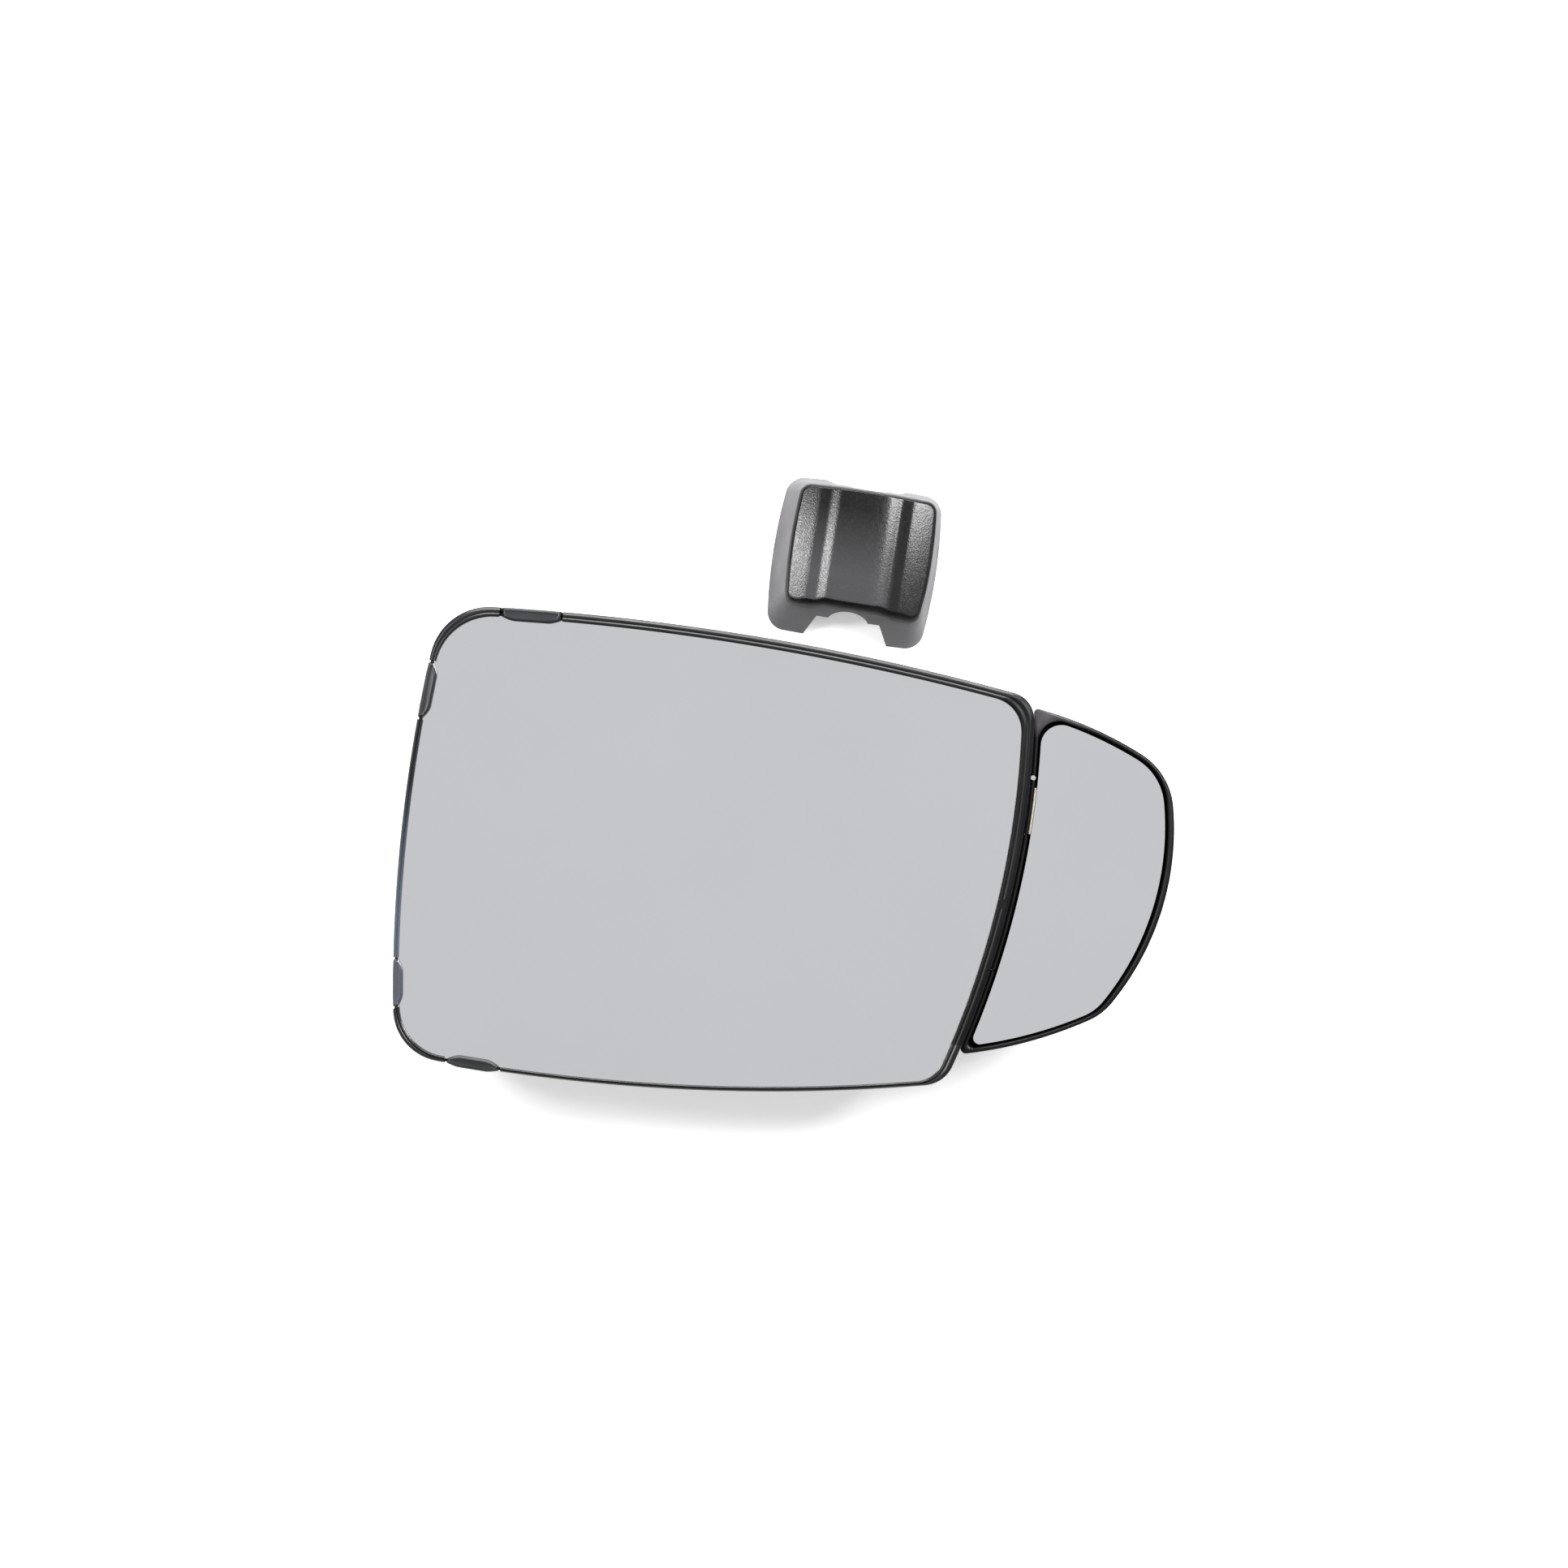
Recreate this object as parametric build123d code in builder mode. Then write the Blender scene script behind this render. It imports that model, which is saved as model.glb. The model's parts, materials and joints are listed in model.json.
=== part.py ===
from build123d import *
import os
from math import atan2, cos, degrees, hypot, radians, sin, sqrt, tan

# Towing mirror: a main head and a hinged wide-angle wing, tilting on a clamp for a round arm,
# with the clamp's clip-on cover lying beside it.
# Frame in millimetres: origin on the arm bore's axis, +Y along the arm, +Z out of the glass.

os.makedirs("parts", exist_ok=True)

# ---------------------------------------------------------------- driving dimensions

# Arm clamp
ARM_BORE_RADIUS = 8.0
CLAMP_WIDTH = 54.0
CLAMP_LENGTH = 48.0
CLAMP_CAP_DEPTH = 11.0
CLAMP_BLOCK_HEIGHT = 12.0
CLAMP_SPLIT = 1.2
CLAMP_CORNER = 5.0
CLAMP_SCREW_X = 18.0
CLAMP_SCREW_Y = 16.0
CLAMP_SCREW_RADIUS = 2.5
CLAMP_SCREW_HEAD_RADIUS = 4.25
CLAMP_SCREW_HEAD_HEIGHT = 5.0
CLAMP_NUT_FLATS = 8.0
CLAMP_NUT_HEIGHT = 4.0

# Tilt knuckle
TILT_AXIS_RISE = 8.5
TILT_AXIS_HEIGHT = CLAMP_BLOCK_HEIGHT + TILT_AXIS_RISE
LUG_WIDTH = 14.0
LUG_RADIUS = 7.0
TILT_PIN_RADIUS = 4.0
TILT_WASHER_THICKNESS = 1.0
EAR_THICKNESS = 5.0
TILT_HEAD_HEIGHT = 5.3
TILT_HEX_FLATS = 13.0
BRACKET_THICKNESS = 3.0
BRACKET_WIDTH = 60.0
BRACKET_LENGTH = 46.0
BRACKET_SCREW_X = 24.0
BRACKET_SCREW_Y = 17.0
BRACKET_SCREW_RADIUS = 2.0
BRACKET_SCREW_HEAD_RADIUS = 3.8
BRACKET_SCREW_LENGTH = 10.0
LUG_RELIEF = 4.0

# Main head, heights from the arm's axis
HOUSING_BACK = 33.0
HOUSING_DEPTH = 17.0
RIM_BASE = HOUSING_BACK + HOUSING_DEPTH
GLASS_TOP = RIM_BASE + 5.0
RIM_TOP = GLASS_TOP + 2.0
HOUSING_WALL = 2.2
HOUSING_FLOOR = 2.5
HOUSING_TAPER = 17.0
GLASS_THICKNESS = 3.0
PAD_THICKNESS = 2.0
BACKING_THICKNESS = 2.0
RIM_ROUND = 1.7
RIM_LIP = 0.5
RIM_WIDTHS = (4.1, 4.8, 2.2, 2.4)
TONGUE_THICKNESS = 1.0
TONGUE_DEPTH = 2.8
BOSS_RADIUS = 5.0
BACKING_SCREW_RADIUS = 1.6
BACKING_SCREW_HEAD_RADIUS = 3.0
BACKING_SCREW_LENGTH = 8.0
HOLDING_INSET = 30.0

# Main head outline, clockwise from the upper left corner: corners, side bows and corner rounds
HEAD_CORNERS = [(-139.0, 101.1), (102.0, 62.8), (65.2, -94.0), (-158.7, -81.4)]
HEAD_BOWS = [7.3, 9.0, 8.3, 6.8]
HEAD_ROUNDS = [24.4, 11.0, 13.4, 21.6]
PANE_ROUNDS = [23.4, 13.6, 12.0, 20.6]

# Glass clips: name, side of the head, place along the side, length, reach inward and outward
TOP_SIDE, RIGHT_SIDE, BOTTOM_SIDE, LEFT_SIDE = range(4)
CLIPS = [
    ("clip_top", TOP_SIDE, 0.149, 23.8, 5.3, 0.0),
    ("clip_bottom", BOTTOM_SIDE, 0.857, 21.0, 3.9, 0.9),
    ("clip_lower_left", LEFT_SIDE, 0.154, 19.0, 4.0, 0.0),
    ("clip_upper_left", LEFT_SIDE, 0.808, 22.6, 4.5, 0.0),
]
CLIP_TAPER = 5.5
CLIP_RISE = 0.7
CLIP_GAP = 1.0
CLIP_END_MARGIN = 0.2
CLIP_CHAMFER = 0.6
CLIP_SLOT_REACH = 12.0

# Hinge between head and wing, along a chord of the seam
HINGE_HIGH_Y = 7.6
HINGE_LOW_Y = -47.8
HINGE_DROP = 5.2
HINGE_AXIS_HEIGHT = RIM_BASE - HINGE_DROP
KNUCKLE_RADIUS = 1.9
KNUCKLE_GAP = 0.3
BAND_CUT = 0.4
END_KNUCKLE_LENGTH = 4.5
HINGE_PIN_RADIUS = 1.0
HINGE_PIN_HEAD_LENGTH = 1.0
LEAF_THICKNESS = 1.2
LEAF_DEPTH = 9.5
LEAF_SCREW_RADIUS = 1.3
LEAF_SCREW_HEAD_RADIUS = 2.4
LEAF_SCREW_LENGTH = 4.2
HEAD_LEAF_SCREW_PITCH = 28.0
WING_LEAF_SCREW_PITCH = 20.0
HINGE_SEAT_DEPTH = 4.0
FOLD_CUT = [(0.8, 0.0), (1.5, -2.0), (1.5, -3.4)]
BAND_CUT_REACH = 8.0
BEYOND = 30.0

# Wing outline, clockwise: the two seam corners lie on the seam at these heights
WING_GAP = 0.6
WING_HIGH_Y = 59.2
WING_LOW_Y = -82.7
WING_OUTER_CORNERS = [(157.3, 32.6), (130.0, -66.4)]
WING_BOWS = [3.0, 12.5, 2.7]
WING_ROUNDS = [1.4, 28.0, 25.0, 2.0]
WING_PANE_ROUNDS = [8.5, 23.0, 20.0, 2.6]
WING_RIM_WIDTHS = (1.9, 2.6, 1.9, 2.0)
WING_PANE_GAPS = (1.1, 1.3, 1.0, 1.0)
WING_SETBACK = 4.0
WING_RIM_BASE = RIM_BASE - WING_SETBACK
WING_RIM_TOP = WING_RIM_BASE + 3.0
WING_STEP = WING_RIM_BASE - 6.0
WING_BACK = WING_RIM_BASE - 16.0
WING_RIM_ROUND = 0.9
WING_WALL = 1.5
WING_FLOOR = 2.0
WING_TAPER = 13.0
WING_TONGUE_THICKNESS = 0.7
WING_TONGUE_DEPTH = 1.8
WING_SEAT_SKIN = 0.2
WING_SEAT_BACKING = 0.5

# Wide-angle glass on its gimbal
WING_GLASS_TOP = WING_RIM_TOP - 0.5
WING_GLASS_THICKNESS = 2.0
WING_PAD_THICKNESS = 0.5
WING_PLATE_THICKNESS = 1.7
WING_PLATE_INSET = 4.0
GIMBAL_HEIGHT = WING_BACK + 7.0
GIMBAL_RING_RADIUS = 11.0
GIMBAL_RING_BORE = 8.0
GIMBAL_RING_HEIGHT = 4.0
GIMBAL_PIN_RADIUS = 1.25
GIMBAL_SIDE_GAP = 0.6
GIMBAL_CHEEK_THICKNESS = 2.8
GIMBAL_CHEEK_WIDTH = 8.0
GIMBAL_BASE_THICKNESS = 1.5
GIMBAL_SCREW_X = 4.2
GIMBAL_SCREW_RADIUS = 1.2
GIMBAL_SCREW_HEAD_RADIUS = 2.4
GIMBAL_SCREW_HEAD_HEIGHT = 1.4
GIMBAL_SCREW_SKIN = 0.5
GIMBAL_CHEEK_WRAP = 1.7

# Small trim on the wing's band
RUB_STRIP_Y = 17.5
RUB_STRIP_LENGTH = 19.0
RUB_STRIP_WIDTH = 1.6
RUB_STRIP_THICKNESS = 0.5
RIVET_RADIUS = 1.0
RIVET_RISE = 0.7
RIVET_DEPTH = 2.0
RIVET_Y = 30.5
RIM_SCREW_Y = -20.8
RIM_SCREW_RADIUS = 1.1
RIM_SCREW_HEAD_RADIUS = 1.9
RIM_SCREW_HEAD_HEIGHT = 1.3
RIM_SCREW_LENGTH = 7.5

# Clamp cover, lying beside the head
COVER_X = 32.2
COVER_Y = 124.5
COVER_TURN = -8.8
COVER_HALF_WIDTH = 28.8
COVER_TOP_REACH = 26.0
COVER_LOW_REACH = 23.4
COVER_FLARES = (4.1, 3.1, 12.0, 6.6)
COVER_BOWS = [1.0, 1.4, 0.5, 1.4]
COVER_ROUND = 5.0
COVER_BASE_ROUND = 8.0
COVER_SKIRT_HEIGHT = 21.5
COVER_WALL = 2.0
COVER_ROOF = 2.0
COVER_PANEL_THICKNESS = 2.5
COVER_PANEL_REVEAL = 0.5
COVER_BAND_LEFT = 13.6
COVER_BAND_RIGHT = 12.2
COVER_BAND_RISE = 2.4
COVER_BAND_BEVEL = 1.6
COVER_NOTCH_RADIUS = 9.0
COVER_NOTCH_X = -1.0
COVER_NOTCH_BASE_HALF = 18.0
COVER_NOTCH_NECK_HALF = 13.4
COVER_NOTCH_NECK_RISE = 14.0
COVER_BAND_SETBACK = 2.0
COVER_REACH = COVER_TOP_REACH + COVER_LOW_REACH + 2 * max(COVER_FLARES)

# Clearances
RUNNING_FIT = 0.05
HOLE_CLEARANCE = 0.2
SNAP_CLEARANCE = 0.05
PAD_CLEARANCE = 0.1
EDGE_CLEARANCE = 0.3
CHANNEL_CLEARANCE = 0.4


# ---------------------------------------------------------------- outlines in plan

class Outline:
    """A closed clockwise outline: corners, the outward bow of the side that starts at each
    corner, and the round of each corner."""

    def __init__(self, corners, bows, rounds):
        self.corners = corners
        self.bows = bows
        self.rounds = rounds

    def side(self, index):
        start = self.corners[index]
        end = self.corners[(index + 1) % len(self.corners)]
        length = hypot(end[0] - start[0], end[1] - start[1])
        along = ((end[0] - start[0]) / length, (end[1] - start[1]) / length)
        return start, end, length, along

    def inset(self, widths, rounds=None):
        """The outline with each side moved inward by its own width."""
        count = len(self.corners)
        if rounds is None:
            rounds = [
                max(self.rounds[index] - (widths[index - 1] + widths[index]) / 2, 0.6)
                for index in range(count)
            ]
        rough = Outline(self.shifted_corners(widths), self.bows, rounds)
        shares = [(rough.side(index)[2] / self.side(index)[2]) ** 2 for index in range(count)]
        chord_widths = [width - bow * (1 - share) for width, bow, share in zip(widths, self.bows, shares)]
        bows = [bow * share for bow, share in zip(self.bows, shares)]
        return Outline(self.shifted_corners(chord_widths), bows, rounds)

    def shifted_corners(self, widths):
        """Where the sides' chords meet once each is moved inward by its own width."""
        lines = []
        for index, width in enumerate(widths):
            start, _, _, along = self.side(index)
            lines.append(((start[0] + along[1] * width, start[1] - along[0] * width), along))
        return [meeting(lines[index - 1], lines[index]) for index in range(len(lines))]

    def even_inset(self, width):
        return self.inset([width] * len(self.corners))

    def station(self, index, fraction):
        """A point on a bowed side and the side's direction there, in degrees."""
        start, _, length, along = self.side(index)
        bow = self.bows[index]
        rise = bow * (1 - (2 * fraction - 1) ** 2)
        reach = length * fraction
        point = (
            start[0] + along[0] * reach - along[1] * rise,
            start[1] + along[1] * reach + along[0] * rise,
        )
        slope = 4 * bow * (1 - 2 * fraction) / length
        return point, degrees(atan2(along[1], along[0]) + slope)


def meeting(first, second):
    """Where two lines, each a point and a direction, meet."""
    (x0, y0), (ux, uy) = first
    (x1, y1), (vx, vy) = second
    step = ((x1 - x0) * vy - (y1 - y0) * vx) / (ux * vy - uy * vx)
    return (x0 + ux * step, y0 + uy * step)


def filled(outline, plane):
    """The outline as a filled sketch."""
    with BuildSketch(plane) as shape:
        with BuildLine():
            for index, bow in enumerate(outline.bows):
                start, end, _, along = outline.side(index)
                middle = (
                    (start[0] + end[0]) / 2 - along[1] * bow,
                    (start[1] + end[1]) / 2 + along[0] * bow,
                )
                ThreePointArc(start, middle, end)
        make_face()
        for corner, round_radius in zip(outline.corners, outline.rounds):
            fillet(vertices().sort_by_distance((corner[0], corner[1], 0))[0], radius=round_radius)
    return shape.sketch


def prism(outline, low, high, mode=Mode.ADD, base=Plane.XY):
    """An upright solid of the outline between two heights."""
    extrude(filled(outline, base.offset(low)), amount=high - low, mode=mode)


def tapered(low_outline, low, high_outline, high, mode=Mode.ADD, base=Plane.XY):
    """A solid that blends from one outline to another between two heights."""
    ends = [filled(low_outline, base.offset(low)), filled(high_outline, base.offset(high))]
    loft(ends, ruled=True, mode=mode)


def bar(plane, length, radius=None, points=None, flats=None, turn=0, mode=Mode.ADD):
    """A bar that stands on a plane's origin: round, hexagonal or of a polygon section."""
    with BuildSketch(plane) as section:
        if radius:
            Circle(radius)
        elif flats:
            RegularPolygon(flats / sqrt(3), 6, rotation=turn)
        else:
            with BuildLine():
                Polyline(*points, close=True)
            make_face()
    extrude(section.sketch, amount=length, mode=mode)


def upright(x, y, low):
    return Plane(origin=(x, y, low))


def column(x, y, radius, low, high, mode=Mode.ADD):
    """An upright round post or hole."""
    bar(upright(x, y, low), high - low, radius=radius, mode=mode)


def countersunk(plane, radius, head_radius, head_depth, length, mode=Mode.ADD):
    """A countersunk screw, or its hole, whose head lies in the plane and shank runs down."""
    bar(plane.offset(-length), length - head_depth / 2, radius=radius, mode=mode)
    with BuildSketch(plane.offset(-head_depth)) as neck:
        Circle(radius)
    with BuildSketch(plane) as face:
        Circle(head_radius)
    loft([neck.sketch, face.sketch], ruled=True, mode=mode)


def stepped(x, y, seat, head, shank, mode=Mode.ADD):
    """An upright cheese-head screw or rivet: head and shank, each a radius and a length."""
    column(x, y, shank[0], seat - shank[1], seat, mode)
    column(x, y, head[0], seat, seat + head[1], mode)


def rim_screw_form(mode=Mode.ADD):
    """The screw that holds the rim to the seat behind the hinge, sunk in the rim's band."""
    seat = RIM_TOP - RIM_SCREW_HEAD_HEIGHT
    head = (RIM_SCREW_HEAD_RADIUS, RIM_SCREW_HEAD_HEIGHT)
    stepped(RIM_SCREW_X, RIM_SCREW_Y, seat, head, (RIM_SCREW_RADIUS, RIM_SCREW_LENGTH), mode)


def band_x(y):
    """X of the middle of the wing's band along the seam."""
    return seam_x(y, WING_GAP + WING_RIM_WIDTHS[3] / 2)


def rivet(mode=Mode.ADD):
    """The rivet at the rub strip's end, set in the wing's band."""
    seat = WING_RIM_TOP
    shank = (RIVET_RADIUS * 0.6, RIVET_DEPTH)
    stepped(band_x(RIVET_Y), RIVET_Y, seat, (RIVET_RADIUS, RIVET_RISE), shank, mode)


def finish(name, part):
    part.label = name
    export_step(part, f"parts/{name}.step")


# ---------------------------------------------------------------- derived places

HEAD = Outline(HEAD_CORNERS, HEAD_BOWS, HEAD_ROUNDS)
PANE = HEAD.inset(RIM_WIDTHS, PANE_ROUNDS)
POCKET = HEAD.inset([width - RIM_LIP for width in RIM_WIDTHS])
HEAD_GLASS = HEAD.inset([width - RIM_LIP + PAD_CLEARANCE for width in RIM_WIDTHS])

BRACKET_BASE = HOUSING_BACK - BRACKET_THICKNESS
HOUSING_INSIDE = HOUSING_BACK + HOUSING_FLOOR
GLASS_BASE = GLASS_TOP - GLASS_THICKNESS
PAD_BASE = GLASS_BASE - PAD_THICKNESS
BACKING_BASE = PAD_BASE - BACKING_THICKNESS
TONGUE_OUTER = HOUSING_WALL - TONGUE_THICKNESS


def seam_circle():
    """Centre and radius of the head's right side."""
    start, end, length, along = HEAD.side(1)
    bow = HEAD.bows[1]
    radius = (length ** 2 / 4 + bow ** 2) / (2 * bow)
    middle = ((start[0] + end[0]) / 2, (start[1] + end[1]) / 2)
    return (middle[0] + along[1] * (radius - bow), middle[1] - along[0] * (radius - bow)), radius


SEAM_CENTRE, SEAM_RADIUS = seam_circle()


def seam_x(y, gap=0.0):
    """X of the seam at a height, moved out by a gap."""
    return SEAM_CENTRE[0] + sqrt((SEAM_RADIUS + gap) ** 2 - (y - SEAM_CENTRE[1]) ** 2)


def seam_angle(y):
    """Direction of the seam at a height, in degrees from +Y."""
    return degrees(atan2(y - SEAM_CENTRE[1], seam_x(y) - SEAM_CENTRE[0]))


def wing_outline():
    high = (seam_x(WING_HIGH_Y, WING_GAP), WING_HIGH_Y)
    low = (seam_x(WING_LOW_Y, WING_GAP), WING_LOW_Y)
    chord = hypot(high[0] - low[0], high[1] - low[1])
    radius = SEAM_RADIUS + WING_GAP
    seam_bow = radius - sqrt(radius ** 2 - chord ** 2 / 4)
    corners = [high, WING_OUTER_CORNERS[0], WING_OUTER_CORNERS[1], low]
    return Outline(corners, WING_BOWS + [-seam_bow], WING_ROUNDS)


WING = wing_outline()
WING_OPENING = WING.inset(WING_RIM_WIDTHS, [width - 0.4 for width in WING_PANE_ROUNDS])
WING_PANE_INSETS = [width + gap for width, gap in zip(WING_RIM_WIDTHS, WING_PANE_GAPS)]
WING_PANE = WING.inset(WING_PANE_INSETS, WING_PANE_ROUNDS)
WING_PLATE = WING_PANE.even_inset(WING_PLATE_INSET)
WING_INSIDE = WING_BACK + WING_FLOOR
WING_GLASS_BASE = WING_GLASS_TOP - WING_GLASS_THICKNESS
WING_PAD_BASE = WING_GLASS_BASE - WING_PAD_THICKNESS
WING_PLATE_BASE = WING_PAD_BASE - WING_PLATE_THICKNESS
GIMBAL_X = sum(corner[0] for corner in WING.corners) / 4
GIMBAL_Y = sum(corner[1] for corner in WING.corners) / 4
GIMBAL_CHEEK = GIMBAL_RING_RADIUS + GIMBAL_SIDE_GAP

# The hinge frame: local x points from the head to the wing, local y up, local z down the seam.
HINGE_HIGH = (seam_x(HINGE_HIGH_Y, WING_GAP / 2), HINGE_HIGH_Y)
HINGE_LOW = (seam_x(HINGE_LOW_Y, WING_GAP / 2), HINGE_LOW_Y)
HINGE_HALF = hypot(HINGE_HIGH[0] - HINGE_LOW[0], HINGE_HIGH[1] - HINGE_LOW[1]) / 2
HINGE_AXIS = (
    (HINGE_HIGH[0] - HINGE_LOW[0]) / (2 * HINGE_HALF),
    (HINGE_HIGH[1] - HINGE_LOW[1]) / (2 * HINGE_HALF),
)
HINGE_FRAME = Plane(
    origin=((HINGE_HIGH[0] + HINGE_LOW[0]) / 2, (HINGE_HIGH[1] + HINGE_LOW[1]) / 2, HINGE_AXIS_HEIGHT),
    x_dir=(HINGE_AXIS[1], -HINGE_AXIS[0], 0),
    z_dir=(-HINGE_AXIS[0], -HINGE_AXIS[1], 0),
)
WING_KNUCKLE = HINGE_HALF - KNUCKLE_GAP / 2
END_KNUCKLE_START = HINGE_HALF + KNUCKLE_GAP / 2
BARREL_END = END_KNUCKLE_START + END_KNUCKLE_LENGTH
CHANNEL_RADIUS = KNUCKLE_RADIUS + CHANNEL_CLEARANCE
CHANNEL_END = BARREL_END + HINGE_PIN_HEAD_LENGTH + CHANNEL_CLEARANCE
HEAD_LEAF_TOP = -KNUCKLE_RADIUS - CHANNEL_CLEARANCE
HEAD_LEAF_FACE = -KNUCKLE_RADIUS + 0.2
WING_LEAF_FACE = KNUCKLE_RADIUS - 0.9
WEB_LOW = HEAD_LEAF_TOP - 0.2
WEB_HIGH = -0.8


def along_hinge(points, start, end, mode=Mode.ADD):
    """A bar of a polygon section in the hinge frame, between two places down the seam."""
    bar(HINGE_FRAME.offset(start), end - start, points=points, mode=mode)


def round_along_hinge(radius, start, end, mode=Mode.ADD):
    bar(HINGE_FRAME.offset(start), end - start, radius=radius, mode=mode)


def leaf_section(face, top, lean, side):
    """A leaf's section: its face line runs down from the top, leaning away from the seam."""
    drop = (side * LEAF_DEPTH * sin(radians(lean)), -LEAF_DEPTH * cos(radians(lean)))
    back = face + side * LEAF_THICKNESS
    return [(face, top), (back, top), (back + drop[0], top + drop[1]), (face + drop[0], top + drop[1])]


HEAD_LEAF = leaf_section(HEAD_LEAF_FACE, HEAD_LEAF_TOP, HOUSING_TAPER, -1)
WING_LEAF = leaf_section(WING_LEAF_FACE, -0.3, WING_TAPER, 1)


def leaf_screw_plane(section, side, place):
    """Plane of a countersunk screw at mid depth of a leaf, its z pointing out of the leaf's face."""
    lean = HOUSING_TAPER if side < 0 else WING_TAPER
    x = (section[0][0] + section[3][0]) / 2
    y = (section[0][1] + section[3][1]) / 2
    origin = HINGE_FRAME.from_local_coords(Vector(x, y, place))
    right = HINGE_FRAME.x_dir
    outward = right * (-side * cos(radians(lean))) + Vector(0, 0, -1) * sin(radians(lean))
    return Plane(origin=origin, x_dir=HINGE_FRAME.z_dir, z_dir=outward)


def leaf_screws(section, side, pitch, mode=Mode.ADD):
    """Countersunk screws of a leaf, or their holes."""
    for place in (-pitch, 0, pitch):
        plane = leaf_screw_plane(section, side, place)
        countersunk(plane, LEAF_SCREW_RADIUS, LEAF_SCREW_HEAD_RADIUS, LEAF_THICKNESS, LEAF_SCREW_LENGTH, mode)


# ---------------------------------------------------------------- arm clamp

CLAMP_SCREWS = [(x, y) for x in (-CLAMP_SCREW_X, CLAMP_SCREW_X) for y in (-CLAMP_SCREW_Y, CLAMP_SCREW_Y)]


def clamp_half(low, high):
    with BuildSketch(Plane.XY.offset(low)) as plan:
        RectangleRounded(CLAMP_WIDTH, CLAMP_LENGTH, CLAMP_CORNER)
    extrude(plan.sketch, amount=high - low)
    bar(Plane.XZ.offset(-CLAMP_LENGTH), 2 * CLAMP_LENGTH, radius=ARM_BORE_RADIUS, mode=Mode.SUBTRACT)
    for x, y in CLAMP_SCREWS:
        column(x, y, CLAMP_SCREW_RADIUS + HOLE_CLEARANCE, low, high, Mode.SUBTRACT)


def hex_post(x, y, flats, low, high, mode=Mode.ADD):
    bar(upright(x, y, low), high - low, flats=flats, mode=mode)


NUT_BASE = CLAMP_BLOCK_HEIGHT - CLAMP_NUT_HEIGHT
CAP_FACE = -CLAMP_CAP_DEPTH
CLAMP_HEAD_TOP = CAP_FACE + CLAMP_SCREW_HEAD_HEIGHT

with BuildPart() as clamp_block:
    clamp_half(CLAMP_SPLIT / 2, CLAMP_BLOCK_HEIGHT)
    for screw_x, screw_y in CLAMP_SCREWS:
        pocket_flats = CLAMP_NUT_FLATS + HOLE_CLEARANCE
        hex_post(screw_x, screw_y, pocket_flats, NUT_BASE, CLAMP_BLOCK_HEIGHT, Mode.SUBTRACT)
    with BuildSketch(Plane.YZ.offset(-LUG_WIDTH / 2)):
        with BuildLine():
            Polyline(
                (-LUG_RADIUS, CLAMP_BLOCK_HEIGHT - 1),
                (LUG_RADIUS, CLAMP_BLOCK_HEIGHT - 1),
                (LUG_RADIUS, TILT_AXIS_HEIGHT),
                (-LUG_RADIUS, TILT_AXIS_HEIGHT),
                close=True,
            )
        make_face()
        with Locations((0, TILT_AXIS_HEIGHT)):
            Circle(LUG_RADIUS)
            Circle(TILT_PIN_RADIUS + RUNNING_FIT, mode=Mode.SUBTRACT)
    extrude(amount=LUG_WIDTH)

with BuildPart() as clamp_cap:
    clamp_half(CAP_FACE, -CLAMP_SPLIT / 2)
    for screw_x, screw_y in CLAMP_SCREWS:
        sink_radius = CLAMP_SCREW_HEAD_RADIUS + HOLE_CLEARANCE
        column(screw_x, screw_y, sink_radius, CAP_FACE, CLAMP_HEAD_TOP, Mode.SUBTRACT)

with BuildPart() as clamp_screws:
    for screw_x, screw_y in CLAMP_SCREWS:
        column(screw_x, screw_y, CLAMP_SCREW_RADIUS, CLAMP_HEAD_TOP - 1, CLAMP_BLOCK_HEIGHT)
        column(screw_x, screw_y, CLAMP_SCREW_HEAD_RADIUS, CAP_FACE + 0.3, CLAMP_HEAD_TOP)
        hex_post(screw_x, screw_y, CLAMP_SCREW_RADIUS * 1.6, CAP_FACE, CAP_FACE + 2.5, Mode.SUBTRACT)

with BuildPart() as clamp_nuts:
    for screw_x, screw_y in CLAMP_SCREWS:
        hex_post(screw_x, screw_y, CLAMP_NUT_FLATS, NUT_BASE, CLAMP_BLOCK_HEIGHT)
        column(screw_x, screw_y, CLAMP_SCREW_RADIUS, NUT_BASE, CLAMP_BLOCK_HEIGHT, Mode.SUBTRACT)


# ---------------------------------------------------------------- tilt knuckle

WASHER_FACE = LUG_WIDTH / 2 + TILT_WASHER_THICKNESS
EAR_FACE = WASHER_FACE + EAR_THICKNESS
BRACKET_SCREWS = [
    (x, y)
    for x in (-BRACKET_SCREW_X, BRACKET_SCREW_X)
    for y in (-BRACKET_SCREW_Y, BRACKET_SCREW_Y)
]


def tilt_plane(x):
    return Plane(origin=(x, 0, TILT_AXIS_HEIGHT), x_dir=(0, 1, 0), z_dir=(1, 0, 0))


def across(radius, start, end, mode=Mode.ADD):
    """A round bar along X on the tilt axis."""
    bar(tilt_plane(start), end - start, radius=radius, mode=mode)


def hex_across(start, end):
    bar(tilt_plane(start), end - start, flats=TILT_HEX_FLATS, turn=30)


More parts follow.
